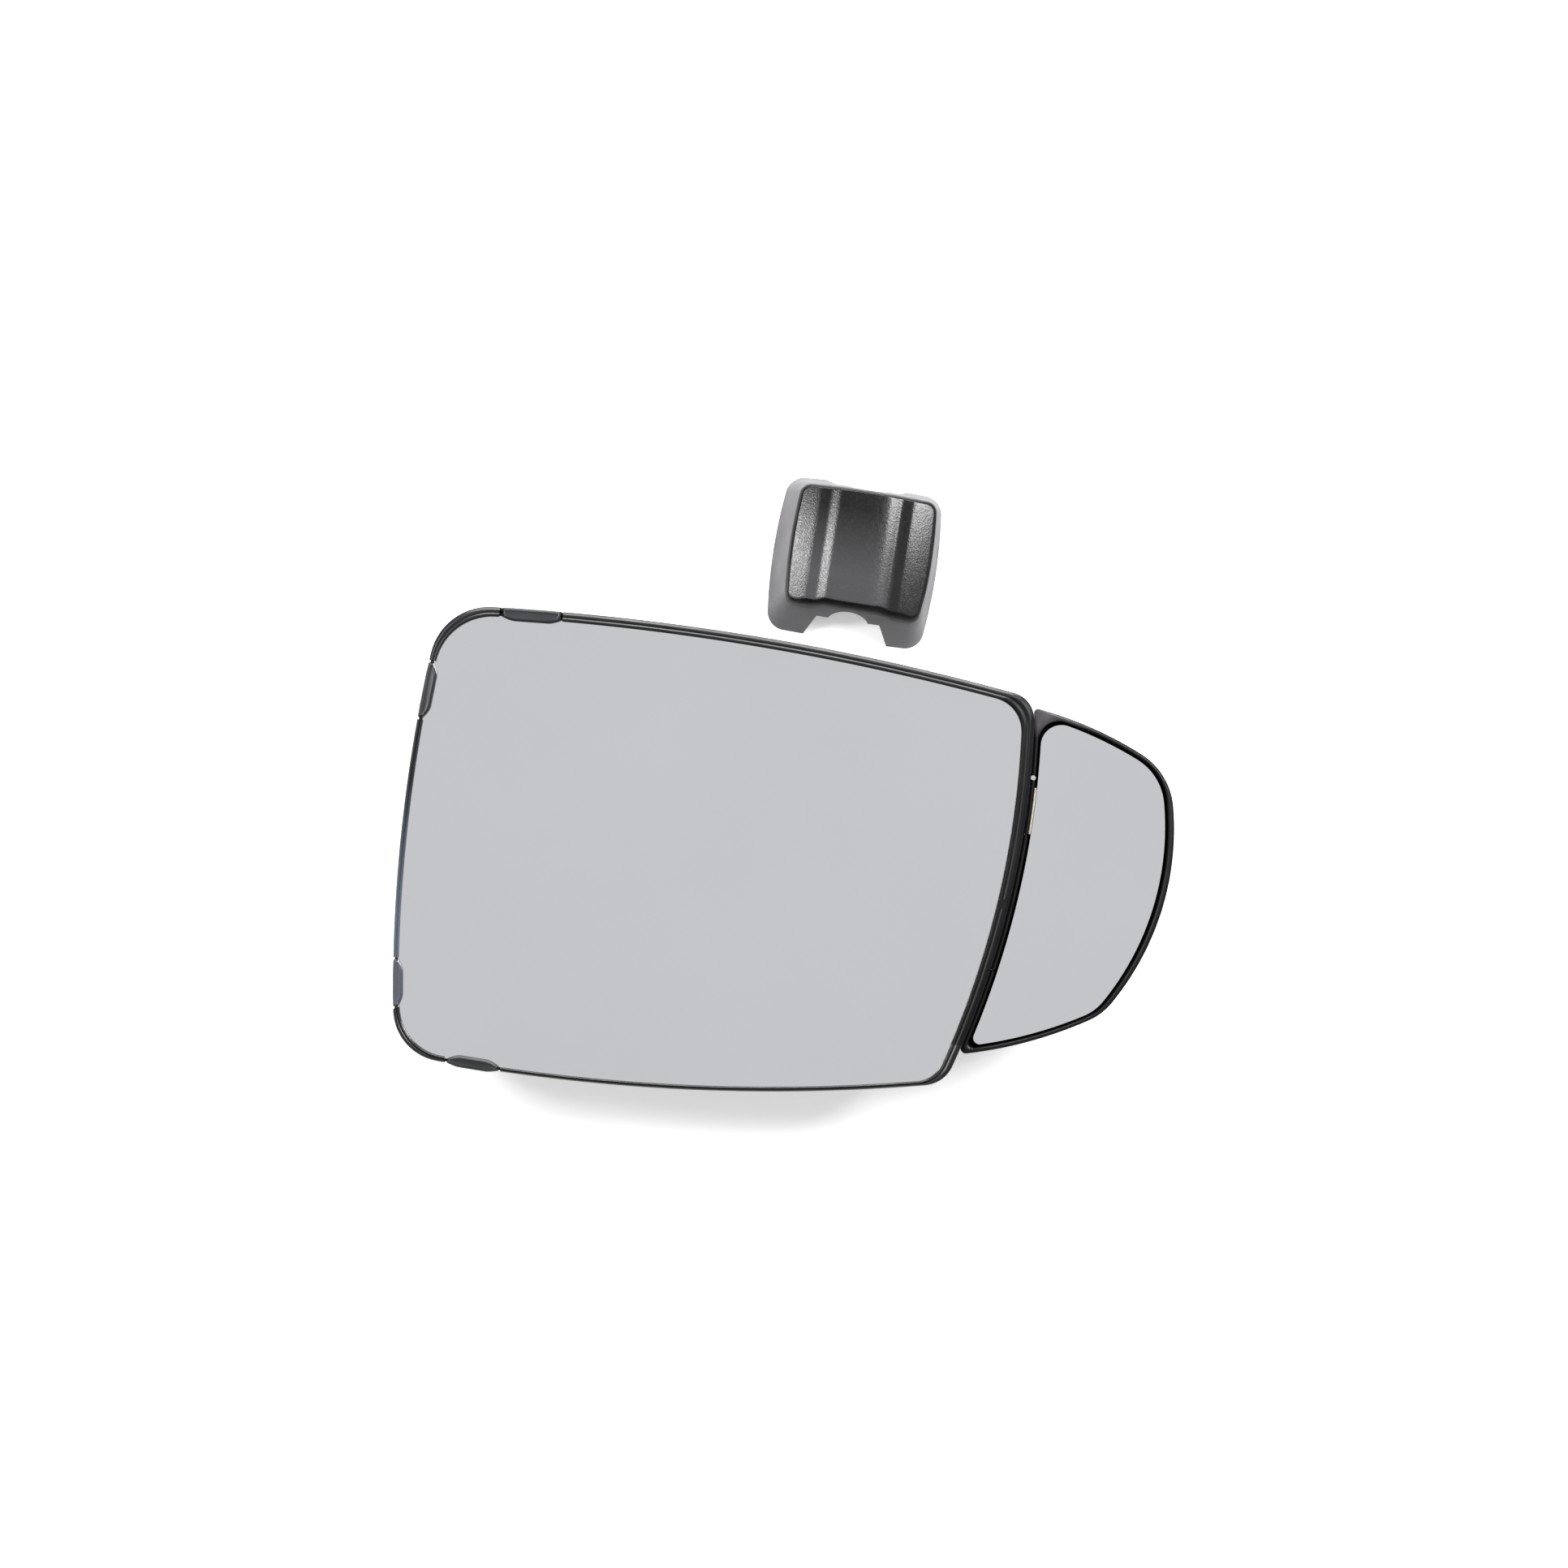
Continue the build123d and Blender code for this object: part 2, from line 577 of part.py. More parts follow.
with BuildPart() as knuckle_bracket:
    with BuildSketch(Plane.XY.offset(BRACKET_BASE)):
        RectangleRounded(BRACKET_WIDTH, BRACKET_LENGTH, CLAMP_CORNER)
        with Locations(*BRACKET_SCREWS):
            Circle(BRACKET_SCREW_RADIUS + HOLE_CLEARANCE, mode=Mode.SUBTRACT)
    extrude(amount=BRACKET_THICKNESS)
    for ear_start in (WASHER_FACE, -EAR_FACE):
        with BuildSketch(Plane.YZ.offset(ear_start)):
            with BuildLine():
                Polyline(
                    (-LUG_RADIUS, TILT_AXIS_HEIGHT),
                    (LUG_RADIUS, TILT_AXIS_HEIGHT),
                    (LUG_RADIUS + LUG_RELIEF, BRACKET_BASE + 1),
                    (-LUG_RADIUS - LUG_RELIEF, BRACKET_BASE + 1),
                    close=True,
                )
            make_face()
            with Locations((0, TILT_AXIS_HEIGHT)):
                Circle(LUG_RADIUS)
        extrude(amount=EAR_THICKNESS)
    across(TILT_PIN_RADIUS, -EAR_FACE, EAR_FACE, Mode.SUBTRACT)

with BuildPart() as tilt_pin:
    across(TILT_PIN_RADIUS, -EAR_FACE, EAR_FACE + TILT_HEAD_HEIGHT + 1.5)
    hex_across(-EAR_FACE - TILT_HEAD_HEIGHT, -EAR_FACE)

with BuildPart() as tilt_nut:
    hex_across(EAR_FACE, EAR_FACE + TILT_HEAD_HEIGHT)
    across(TILT_PIN_RADIUS, EAR_FACE, EAR_FACE + TILT_HEAD_HEIGHT, Mode.SUBTRACT)

with BuildPart() as tilt_washers:
    for washer_start in (LUG_WIDTH / 2, -WASHER_FACE):
        across(LUG_RADIUS - 0.5, washer_start, washer_start + TILT_WASHER_THICKNESS)
        across(TILT_PIN_RADIUS, washer_start, washer_start + TILT_WASHER_THICKNESS, Mode.SUBTRACT)

with BuildPart() as bracket_screws:
    for screw_x, screw_y in BRACKET_SCREWS:
        column(screw_x, screw_y, BRACKET_SCREW_HEAD_RADIUS, BRACKET_BASE - BRACKET_SCREW_RADIUS, BRACKET_BASE)
        column(screw_x, screw_y, BRACKET_SCREW_RADIUS, BRACKET_BASE - 1, BRACKET_BASE + BRACKET_SCREW_LENGTH)


# ---------------------------------------------------------------- main head housing

HOUSING_DROP = HINGE_AXIS_HEIGHT - HOUSING_BACK
SEAT_BACK = CHANNEL_RADIUS + LEAF_DEPTH * sin(radians(HOUSING_TAPER)) + HINGE_SEAT_DEPTH
TONGUE_STOP = CHANNEL_RADIUS + HINGE_SEAT_DEPTH
TAPER_SLOPE = tan(radians(HOUSING_TAPER))
HEAD_BACK = HEAD.even_inset(HOUSING_DROP * TAPER_SLOPE)
BOSS_TOP = BACKING_BASE
HOLDING_CORNERS = HEAD.even_inset(HOLDING_INSET).corners


def hinge_block(depth, low):
    """A block that runs along the barrel, from inside the head to beyond the seam."""
    along_hinge(
        [(-depth, low), (-depth, HINGE_DROP), (BEYOND, HINGE_DROP), (BEYOND, low)],
        -CHANNEL_END,
        CHANNEL_END,
        Mode.SUBTRACT,
    )


RIM_SCREW_X = seam_x(RIM_SCREW_Y) - RIM_WIDTHS[1] / 2 - 0.4

with BuildPart() as head_hollow:
    prism(HEAD.even_inset(HOUSING_WALL), HINGE_AXIS_HEIGHT, RIM_BASE)
    tapered(
        HEAD.even_inset(HOUSING_WALL + (HINGE_AXIS_HEIGHT - HOUSING_INSIDE) * TAPER_SLOPE),
        HOUSING_INSIDE,
        HEAD.even_inset(HOUSING_WALL),
        HINGE_AXIS_HEIGHT,
    )
    hinge_block(SEAT_BACK, -HOUSING_DROP - 1)
    for boss_x, boss_y in HOLDING_CORNERS:
        column(boss_x, boss_y, BOSS_RADIUS, HOUSING_INSIDE, BOSS_TOP, Mode.SUBTRACT)
    for screw_x, screw_y in BRACKET_SCREWS:
        column(screw_x, screw_y, BOSS_RADIUS, HOUSING_INSIDE, BOSS_TOP, Mode.SUBTRACT)

with BuildPart() as head_rabbet:
    rabbet_base = RIM_BASE - TONGUE_DEPTH - HOLE_CLEARANCE
    prism(HEAD.even_inset(TONGUE_OUTER - SNAP_CLEARANCE), rabbet_base, RIM_BASE)
    prism(HEAD.even_inset(HOUSING_WALL + HOLE_CLEARANCE), rabbet_base, RIM_BASE, Mode.SUBTRACT)
    hinge_block(TONGUE_STOP, 0)

with BuildPart() as main_housing:
    prism(HEAD, HINGE_AXIS_HEIGHT, RIM_BASE)
    tapered(HEAD_BACK, HOUSING_BACK, HEAD, HINGE_AXIS_HEIGHT)
    add(head_hollow.part, mode=Mode.SUBTRACT)
    add(head_rabbet.part, mode=Mode.SUBTRACT)
    for boss_x, boss_y in HOLDING_CORNERS:
        column(boss_x, boss_y, BACKING_SCREW_RADIUS, HOUSING_INSIDE + 2, BOSS_TOP, Mode.SUBTRACT)
    for screw_x, screw_y in BRACKET_SCREWS:
        column(screw_x, screw_y, BRACKET_SCREW_RADIUS, HOUSING_BACK,
               BRACKET_BASE + BRACKET_SCREW_LENGTH, Mode.SUBTRACT)
    rim_screw_form(Mode.SUBTRACT)
    round_along_hinge(CHANNEL_RADIUS, -CHANNEL_END, CHANNEL_END, Mode.SUBTRACT)
    along_hinge(
        [(HEAD_LEAF[0][0], 0), HEAD_LEAF[0], HEAD_LEAF[3], (BEYOND, HEAD_LEAF[3][1]), (BEYOND, 0)],
        -CHANNEL_END,
        CHANNEL_END,
        Mode.SUBTRACT,
    )
    along_hinge(HEAD_LEAF, -BARREL_END, BARREL_END, Mode.SUBTRACT)
    along_hinge(
        [(HEAD_LEAF[1][0], WEB_LOW), (HEAD_LEAF[1][0], 0), (0, 0), (0, WEB_LOW)],
        -CHANNEL_END,
        CHANNEL_END,
        Mode.SUBTRACT,
    )
    leaf_screws(HEAD_LEAF, -1, HEAD_LEAF_SCREW_PITCH, Mode.SUBTRACT)


# ---------------------------------------------------------------- main head glass stack

WALL_INSIDE = HOUSING_WALL + EDGE_CLEARANCE
BACKING = HEAD.inset([WALL_INSIDE, HOUSING_WALL + HINGE_SEAT_DEPTH, WALL_INSIDE, WALL_INSIDE])
SEAT_EDGE = SEAT_BACK + EDGE_CLEARANCE

with BuildPart() as main_backing_plate:
    prism(BACKING, BACKING_BASE, PAD_BASE)
    along_hinge(
        [(-SEAT_EDGE, 0), (-SEAT_EDGE, BEYOND), (BEYOND, BEYOND), (BEYOND, 0)],
        -CHANNEL_END - EDGE_CLEARANCE,
        CHANNEL_END + EDGE_CLEARANCE,
        Mode.SUBTRACT,
    )
    for boss_x, boss_y in HOLDING_CORNERS:
        countersunk(upright(boss_x, boss_y, PAD_BASE), BACKING_SCREW_RADIUS, BACKING_SCREW_HEAD_RADIUS,
                    BACKING_THICKNESS, BACKING_THICKNESS, Mode.SUBTRACT)

with BuildPart() as backing_screws:
    for boss_x, boss_y in HOLDING_CORNERS:
        countersunk(upright(boss_x, boss_y, PAD_BASE), BACKING_SCREW_RADIUS, BACKING_SCREW_HEAD_RADIUS,
                    BACKING_THICKNESS, BACKING_THICKNESS + BACKING_SCREW_LENGTH)

with BuildPart() as glass_pad:
    prism(HEAD_GLASS.even_inset(PAD_CLEARANCE), PAD_BASE, GLASS_BASE)

with BuildPart() as main_glass:
    prism(HEAD_GLASS, GLASS_BASE, GLASS_TOP)


# ---------------------------------------------------------------- main rim, parted by the clips

def rounded_prism(outline, low, high, round_radius):
    """An upright solid with its upper outer edge rounded."""
    prism(outline, low, high)
    fillet(edges().group_by(Axis.Z)[-1], radius=round_radius)


def clip_plane(side, fraction, height):
    """Plane at a place on the head's outline: x along the side, y outward, z up."""
    point, angle = HEAD.station(side, fraction)
    direction = (cos(radians(angle)), sin(radians(angle)), 0)
    return Plane(origin=(point[0], point[1], height), x_dir=direction, z_dir=(0, 0, 1))


def box_on(plane, x_low, x_high, y_low, y_high, height, mode=Mode.ADD):
    bar(plane, height, points=[(x_low, y_low), (x_high, y_low), (x_high, y_high), (x_low, y_high)], mode=mode)


with BuildPart() as head_ring:
    rounded_prism(HEAD, RIM_BASE, RIM_TOP, RIM_ROUND)
    prism(HEAD.even_inset(TONGUE_OUTER), RIM_BASE - TONGUE_DEPTH, RIM_BASE)
    prism(HEAD.even_inset(HOUSING_WALL - SNAP_CLEARANCE), RIM_BASE - TONGUE_DEPTH, RIM_BASE, Mode.SUBTRACT)
    prism(POCKET, RIM_BASE, GLASS_TOP, Mode.SUBTRACT)
    prism(PANE, GLASS_TOP, RIM_TOP, Mode.SUBTRACT)
    along_hinge(
        [(-TONGUE_STOP, 0), (-TONGUE_STOP, HINGE_DROP), (BEYOND, HINGE_DROP), (BEYOND, 0)],
        -CHANNEL_END - EDGE_CLEARANCE,
        CHANNEL_END + EDGE_CLEARANCE,
        Mode.SUBTRACT,
    )
    for _, side, fraction, length, *_ in CLIPS:
        slot = clip_plane(side, fraction, RIM_BASE - TONGUE_DEPTH)
        slot_half = length / 2 + CLIP_GAP
        box_on(slot, -slot_half, slot_half, -CLIP_SLOT_REACH, CLIP_SLOT_REACH,
               RIM_TOP - RIM_BASE + TONGUE_DEPTH, Mode.SUBTRACT)
    rim_screw_form(Mode.SUBTRACT)

ring_pieces = head_ring.part.solids()
left_middle = HEAD.station(LEFT_SIDE, (CLIPS[2][2] + CLIPS[3][2]) / 2)[0]
upper_corner = HEAD.corners[0]
lower_corner = HEAD.corners[3]


def nearest_piece(pieces, x, y, z):
    return pieces.sort_by_distance((x, y, z))[0]


with BuildPart() as left_rim:
    add(nearest_piece(ring_pieces, left_middle[0], left_middle[1], RIM_BASE))
with BuildPart() as corner_guard_upper:
    add(nearest_piece(ring_pieces, upper_corner[0], upper_corner[1], RIM_BASE))
with BuildPart() as corner_guard_lower:
    add(nearest_piece(ring_pieces, lower_corner[0], lower_corner[1], RIM_BASE))
with BuildPart() as main_rim:
    add(nearest_piece(ring_pieces, seam_x(0), 0, RIM_TOP))

with BuildPart() as rim_screw:
    rim_screw_form()


# ---------------------------------------------------------------- glass clips

def glass_clip(side, fraction, length, reach, stand_out):
    """A clip: a stem in the rim's gap, a tongue in the housing and a tapered lip on the glass."""
    half = length / 2
    shoulder = half - CLIP_TAPER
    end_reach = RIM_WIDTHS[side] - CLIP_END_MARGIN
    lip = [
        (-half, -end_reach), (-shoulder, -reach), (shoulder, -reach), (half, -end_reach),
        (half, -CLIP_END_MARGIN), (shoulder, stand_out), (-shoulder, stand_out), (-half, -CLIP_END_MARGIN),
    ]
    top = clip_plane(side, fraction, GLASS_TOP)
    bar(top, RIM_TOP + CLIP_RISE - GLASS_TOP, points=lip)
    chamfer(faces().sort_by(Axis.Z)[-1].edges(), length=CLIP_CHAMFER)
    wall = RIM_WIDTHS[side] - RIM_LIP - HOLE_CLEARANCE
    stem = clip_plane(side, fraction, RIM_BASE)
    box_on(stem, -shoulder, shoulder, -wall, stand_out, GLASS_TOP - RIM_BASE)
    tongue = clip_plane(side, fraction, RIM_BASE - TONGUE_DEPTH)
    box_on(tongue, -shoulder, shoulder, -HOUSING_WALL + PAD_CLEARANCE, -TONGUE_OUTER - SNAP_CLEARANCE,
           TONGUE_DEPTH)


clip_parts = []
for clip_name, *clip_sizes in CLIPS:
    with BuildPart() as clip:
        glass_clip(*clip_sizes)
    clip_parts.append((clip_name, clip.part))


# ---------------------------------------------------------------- hinge

WEB = [(HEAD_LEAF[1][0], WEB_LOW), (HEAD_LEAF[1][0], WEB_HIGH), (0, WEB_HIGH), (0, WEB_LOW)]

with BuildPart() as hinge_leaf_main:
    along_hinge(HEAD_LEAF, -BARREL_END, BARREL_END)
    for knuckle_start in (-BARREL_END, END_KNUCKLE_START):
        knuckle_end = knuckle_start + END_KNUCKLE_LENGTH
        round_along_hinge(KNUCKLE_RADIUS, knuckle_start, knuckle_end)
        along_hinge(WEB, knuckle_start, knuckle_end)
    round_along_hinge(HINGE_PIN_RADIUS, -BARREL_END, BARREL_END, Mode.SUBTRACT)
    leaf_screws(HEAD_LEAF, -1, HEAD_LEAF_SCREW_PITCH, Mode.SUBTRACT)

with BuildPart() as hinge_leaf_wing:
    along_hinge(WING_LEAF, -WING_KNUCKLE, WING_KNUCKLE)
    round_along_hinge(KNUCKLE_RADIUS, -WING_KNUCKLE, WING_KNUCKLE)
    round_along_hinge(HINGE_PIN_RADIUS + RUNNING_FIT, -WING_KNUCKLE, WING_KNUCKLE, Mode.SUBTRACT)
    leaf_screws(WING_LEAF, 1, WING_LEAF_SCREW_PITCH, Mode.SUBTRACT)

with BuildPart() as hinge_pin:
    round_along_hinge(HINGE_PIN_RADIUS, -BARREL_END, BARREL_END)
    round_along_hinge(KNUCKLE_RADIUS, -BARREL_END - HINGE_PIN_HEAD_LENGTH, -BARREL_END)
    round_along_hinge(KNUCKLE_RADIUS, BARREL_END, BARREL_END + HINGE_PIN_HEAD_LENGTH)

with BuildPart() as hinge_screws_main:
    leaf_screws(HEAD_LEAF, -1, HEAD_LEAF_SCREW_PITCH)

with BuildPart() as hinge_screws_wing:
    leaf_screws(WING_LEAF, 1, WING_LEAF_SCREW_PITCH)


# ---------------------------------------------------------------- wing housing and rim

WING_SLOPE = tan(radians(WING_TAPER))


def wing_shell(height, wall):
    """The wing's outline at a height, inside a wall: the seam side tapers from the hinge axis
    down, the other sides from the step down."""
    outer_lean = max(WING_STEP - height, 0) * WING_SLOPE
    seam_lean = max(HINGE_AXIS_HEIGHT - height, 0) * WING_SLOPE
    return WING.inset([outer_lean + wall, outer_lean + wall, outer_lean + wall, seam_lean + wall])


def wing_body(floor, top, wall, mode=Mode.ADD):
    """A solid of the wing's shell between two heights."""
    levels = [floor, WING_STEP, HINGE_AXIS_HEIGHT, top]
    for low, high in zip(levels, levels[1:]):
        tapered(wing_shell(low, wall), low, wing_shell(high, wall), high, mode)


WING_SEAT_FACE = WING_LEAF[1][0] + WING_SEAT_SKIN
WING_SEAT_FOOT = WING_LEAF[2][0] + WING_SEAT_BACKING
WING_SEAT = [
    (-BEYOND, -HINGE_AXIS_HEIGHT),
    (-BEYOND, HINGE_DROP - WING_SETBACK),
    (WING_SEAT_FACE, HINGE_DROP - WING_SETBACK),
    (WING_SEAT_FACE, 0),
    (WING_SEAT_FOOT, WING_LEAF[2][1]),
    (WING_SEAT_FOOT, -HINGE_AXIS_HEIGHT),
]

with BuildPart() as wing_hollow:
    wing_body(WING_INSIDE, WING_RIM_BASE, WING_WALL)
    along_hinge(WING_SEAT, -WING_KNUCKLE, WING_KNUCKLE, Mode.SUBTRACT)

with BuildPart() as wing_housing:
    wing_body(WING_BACK, WING_RIM_BASE, 0)
    add(wing_hollow.part, mode=Mode.SUBTRACT)
    rabbet_base = WING_RIM_BASE - WING_TONGUE_DEPTH - HOLE_CLEARANCE
    rabbet_wall = WING_WALL - WING_TONGUE_THICKNESS
    tapered(wing_shell(rabbet_base, rabbet_wall), rabbet_base,
            wing_shell(WING_RIM_BASE, rabbet_wall), WING_RIM_BASE, Mode.SUBTRACT)
    round_along_hinge(CHANNEL_RADIUS, -CHANNEL_END, CHANNEL_END, Mode.SUBTRACT)
    along_hinge(
        [(-BEYOND, HEAD_LEAF[3][1] - 2), (-BEYOND, 0)] + FOLD_CUT + [(FOLD_CUT[0][0], HEAD_LEAF[3][1] - 2)],
        -CHANNEL_END, CHANNEL_END, Mode.SUBTRACT,
    )
    along_hinge(
        [(-BEYOND, WING_LEAF[3][1]), (-BEYOND, 0), (WING_LEAF[1][0], 0), WING_LEAF[1], WING_LEAF[2]],
        -WING_KNUCKLE, WING_KNUCKLE, Mode.SUBTRACT,
    )
    leaf_screws(WING_LEAF, 1, WING_LEAF_SCREW_PITCH, Mode.SUBTRACT)
    for screw_x in (-GIMBAL_SCREW_X, GIMBAL_SCREW_X):
        column(GIMBAL_X + screw_x, GIMBAL_Y, GIMBAL_SCREW_RADIUS, WING_BACK + GIMBAL_SCREW_SKIN, WING_INSIDE,
               Mode.SUBTRACT)

with BuildPart() as wing_ring:
    rounded_prism(WING, WING_RIM_BASE, WING_RIM_TOP, WING_RIM_ROUND)
    prism(WING_OPENING, WING_RIM_BASE, WING_RIM_TOP, Mode.SUBTRACT)
    round_along_hinge(CHANNEL_RADIUS, -CHANNEL_END, CHANNEL_END, Mode.SUBTRACT)
    for cut_place in (-HINGE_HALF, HINGE_HALF):
        along_hinge(
            [(-BAND_CUT_REACH, 0), (-BAND_CUT_REACH, BAND_CUT_REACH), (BAND_CUT_REACH, BAND_CUT_REACH),
             (BAND_CUT_REACH, 0)],
            cut_place - BAND_CUT / 2, cut_place + BAND_CUT / 2, Mode.SUBTRACT,
        )
    rivet(Mode.SUBTRACT)

band_pieces = wing_ring.part.solids()
band_middle = HINGE_FRAME.from_local_coords(Vector(WING_GAP + 2, 0, 0))

with BuildPart() as hinge_cover:
    add(nearest_piece(band_pieces, band_middle.X, band_middle.Y, WING_RIM_TOP))
with BuildPart() as wing_rim:
    add(nearest_piece(band_pieces, WING.corners[1][0], WING.corners[1][1], WING_RIM_TOP))

with BuildPart() as rub_strip:
    strip_x = band_x(RUB_STRIP_Y)
    strip_plane = Plane(
        origin=(strip_x, RUB_STRIP_Y, WING_RIM_TOP),
        x_dir=(cos(radians(seam_angle(RUB_STRIP_Y))), sin(radians(seam_angle(RUB_STRIP_Y))), 0),
        z_dir=(0, 0, 1),
    )
    box_on(strip_plane, -RUB_STRIP_WIDTH / 2, RUB_STRIP_WIDTH / 2, -RUB_STRIP_LENGTH / 2, RUB_STRIP_LENGTH / 2,
           RUB_STRIP_THICKNESS)

with BuildPart() as strip_rivet:
    rivet()


# ---------------------------------------------------------------- wide-angle glass and gimbal

def gimbal_plane(axis, start):
    """Plane on the gimbal's X or Y axis, at a distance from its centre."""
    origin = (GIMBAL_X + axis[0] * start, GIMBAL_Y + axis[1] * start, GIMBAL_HEIGHT)
    return Plane(origin=origin, x_dir=(-axis[1], axis[0], 0), z_dir=(axis[0], axis[1], 0))


TILT_ENDS = [(1, 0), (-1, 0)]
PAN_ENDS = [(0, 1), (0, -1)]
CHEEK_OUTSIDE = GIMBAL_CHEEK + GIMBAL_CHEEK_THICKNESS


def cheeks(ends, low, high):
    """Two bearing cheeks that face the ring, with running holes for its pins."""
    for axis in ends:
        plane = Plane(origin=(GIMBAL_X, GIMBAL_Y, low), x_dir=(axis[0], axis[1], 0), z_dir=(0, 0, 1))
        half_width = GIMBAL_CHEEK_WIDTH / 2
        box_on(plane, GIMBAL_CHEEK, CHEEK_OUTSIDE, -half_width, half_width, high - low)
    for axis in ends:
        bar(gimbal_plane(axis, GIMBAL_RING_BORE), CHEEK_OUTSIDE, radius=GIMBAL_PIN_RADIUS + RUNNING_FIT,
            mode=Mode.SUBTRACT)


def gimbal_pins(ends, start=GIMBAL_RING_BORE, mode=Mode.ADD):
    for axis in ends:
        bar(gimbal_plane(axis, start), CHEEK_OUTSIDE - start, radius=GIMBAL_PIN_RADIUS, mode=mode)


with BuildPart() as gimbal_bracket:
    base_plane = Plane(origin=(GIMBAL_X, GIMBAL_Y, WING_INSIDE))
    box_on(base_plane, -CHEEK_OUTSIDE, CHEEK_OUTSIDE, -GIMBAL_CHEEK_WIDTH / 2, GIMBAL_CHEEK_WIDTH / 2,
           GIMBAL_BASE_THICKNESS)
    cheeks(TILT_ENDS, WING_INSIDE, GIMBAL_HEIGHT + GIMBAL_PIN_RADIUS + GIMBAL_CHEEK_WRAP)
    for screw_x in (-GIMBAL_SCREW_X, GIMBAL_SCREW_X):
        column(GIMBAL_X + screw_x, GIMBAL_Y, GIMBAL_SCREW_RADIUS, WING_INSIDE,
               WING_INSIDE + GIMBAL_BASE_THICKNESS, Mode.SUBTRACT)

with BuildPart() as gimbal_screws:
    for screw_x in (-GIMBAL_SCREW_X, GIMBAL_SCREW_X):
        head_base = WING_INSIDE + GIMBAL_BASE_THICKNESS
        head_top = head_base + GIMBAL_SCREW_HEAD_HEIGHT
        column(GIMBAL_X + screw_x, GIMBAL_Y, GIMBAL_SCREW_RADIUS, WING_BACK + GIMBAL_SCREW_SKIN, head_top)
        column(GIMBAL_X + screw_x, GIMBAL_Y, GIMBAL_SCREW_HEAD_RADIUS, head_base, head_top)

with BuildPart() as gimbal_ring:
    column(GIMBAL_X, GIMBAL_Y, GIMBAL_RING_RADIUS, GIMBAL_HEIGHT - GIMBAL_RING_HEIGHT / 2,
           GIMBAL_HEIGHT + GIMBAL_RING_HEIGHT / 2)
    column(GIMBAL_X, GIMBAL_Y, GIMBAL_RING_BORE, GIMBAL_HEIGHT - GIMBAL_RING_HEIGHT / 2,
           GIMBAL_HEIGHT + GIMBAL_RING_HEIGHT / 2, Mode.SUBTRACT)
    gimbal_pins(TILT_ENDS + PAN_ENDS, GIMBAL_RING_BORE / 2, Mode.SUBTRACT)

with BuildPart() as gimbal_tilt_pins:
    gimbal_pins(TILT_ENDS)

with BuildPart() as gimbal_pan_pins:
    gimbal_pins(PAN_ENDS)

with BuildPart() as wing_backing_plate:
    prism(WING_PLATE, WING_PLATE_BASE, WING_PAD_BASE)
    cheeks(PAN_ENDS, GIMBAL_HEIGHT - GIMBAL_PIN_RADIUS - GIMBAL_CHEEK_WRAP, WING_PLATE_BASE)

with BuildPart() as wing_glass_pad:
    prism(WING_PLATE, WING_PAD_BASE, WING_GLASS_BASE)

with BuildPart() as wing_mirror_glass:
    prism(WING_PANE, WING_GLASS_BASE, WING_GLASS_TOP)


# ---------------------------------------------------------------- clamp cover

COVER_BASE_HEIGHT = CAP_FACE
COVER_ROOF_TOP = COVER_BASE_HEIGHT + COVER_SKIRT_HEIGHT
COVER_PANEL_TOP = COVER_ROOF_TOP + COVER_PANEL_THICKNESS
COVER_FRAME = Plane(
    origin=(COVER_X, COVER_Y, 0),
    x_dir=(cos(radians(COVER_TURN)), sin(radians(COVER_TURN)), 0),
    z_dir=(0, 0, 1),
)
COVER_ROOF_OUTLINE = Outline(
    [
        (-COVER_HALF_WIDTH, COVER_TOP_REACH),
        (COVER_HALF_WIDTH, COVER_TOP_REACH),
        (COVER_HALF_WIDTH, -COVER_LOW_REACH),
        (-COVER_HALF_WIDTH, -COVER_LOW_REACH),
    ],
    COVER_BOWS,
    [COVER_ROUND] * 4,
)
COVER_BASE = COVER_ROOF_OUTLINE.inset([-flare for flare in COVER_FLARES], [COVER_BASE_ROUND] * 4)
COVER_SIDE = Plane(
    origin=COVER_FRAME.origin,
    x_dir=COVER_FRAME.x_dir,
    z_dir=COVER_FRAME.x_dir.cross(Vector(0, 0, 1)),
)

with BuildPart() as cover_skirt:
    tapered(COVER_BASE, COVER_BASE_HEIGHT, COVER_ROOF_OUTLINE, COVER_ROOF_TOP, base=COVER_FRAME)
    tapered(
        COVER_BASE.even_inset(COVER_WALL), COVER_BASE_HEIGHT,
        COVER_ROOF_OUTLINE.even_inset(COVER_WALL), COVER_ROOF_TOP - COVER_ROOF,
        Mode.SUBTRACT, COVER_FRAME,
    )
    bar(COVER_SIDE.offset(-COVER_REACH), 2 * COVER_REACH, mode=Mode.SUBTRACT, points=[
        (COVER_NOTCH_X - COVER_NOTCH_BASE_HALF, COVER_BASE_HEIGHT),
        (COVER_NOTCH_X - COVER_NOTCH_NECK_HALF, COVER_BASE_HEIGHT + COVER_NOTCH_NECK_RISE),
        (COVER_NOTCH_X + COVER_NOTCH_NECK_HALF, COVER_BASE_HEIGHT + COVER_NOTCH_NECK_RISE),
        (COVER_NOTCH_X + COVER_NOTCH_BASE_HALF, COVER_BASE_HEIGHT),
    ])
    notch_centre = COVER_SIDE.from_local_coords(Vector(COVER_NOTCH_X, 0, -COVER_REACH))
    bar(Plane(origin=notch_centre, x_dir=COVER_SIDE.x_dir, z_dir=COVER_SIDE.z_dir), 2 * COVER_REACH,
        radius=COVER_NOTCH_RADIUS, mode=Mode.SUBTRACT)

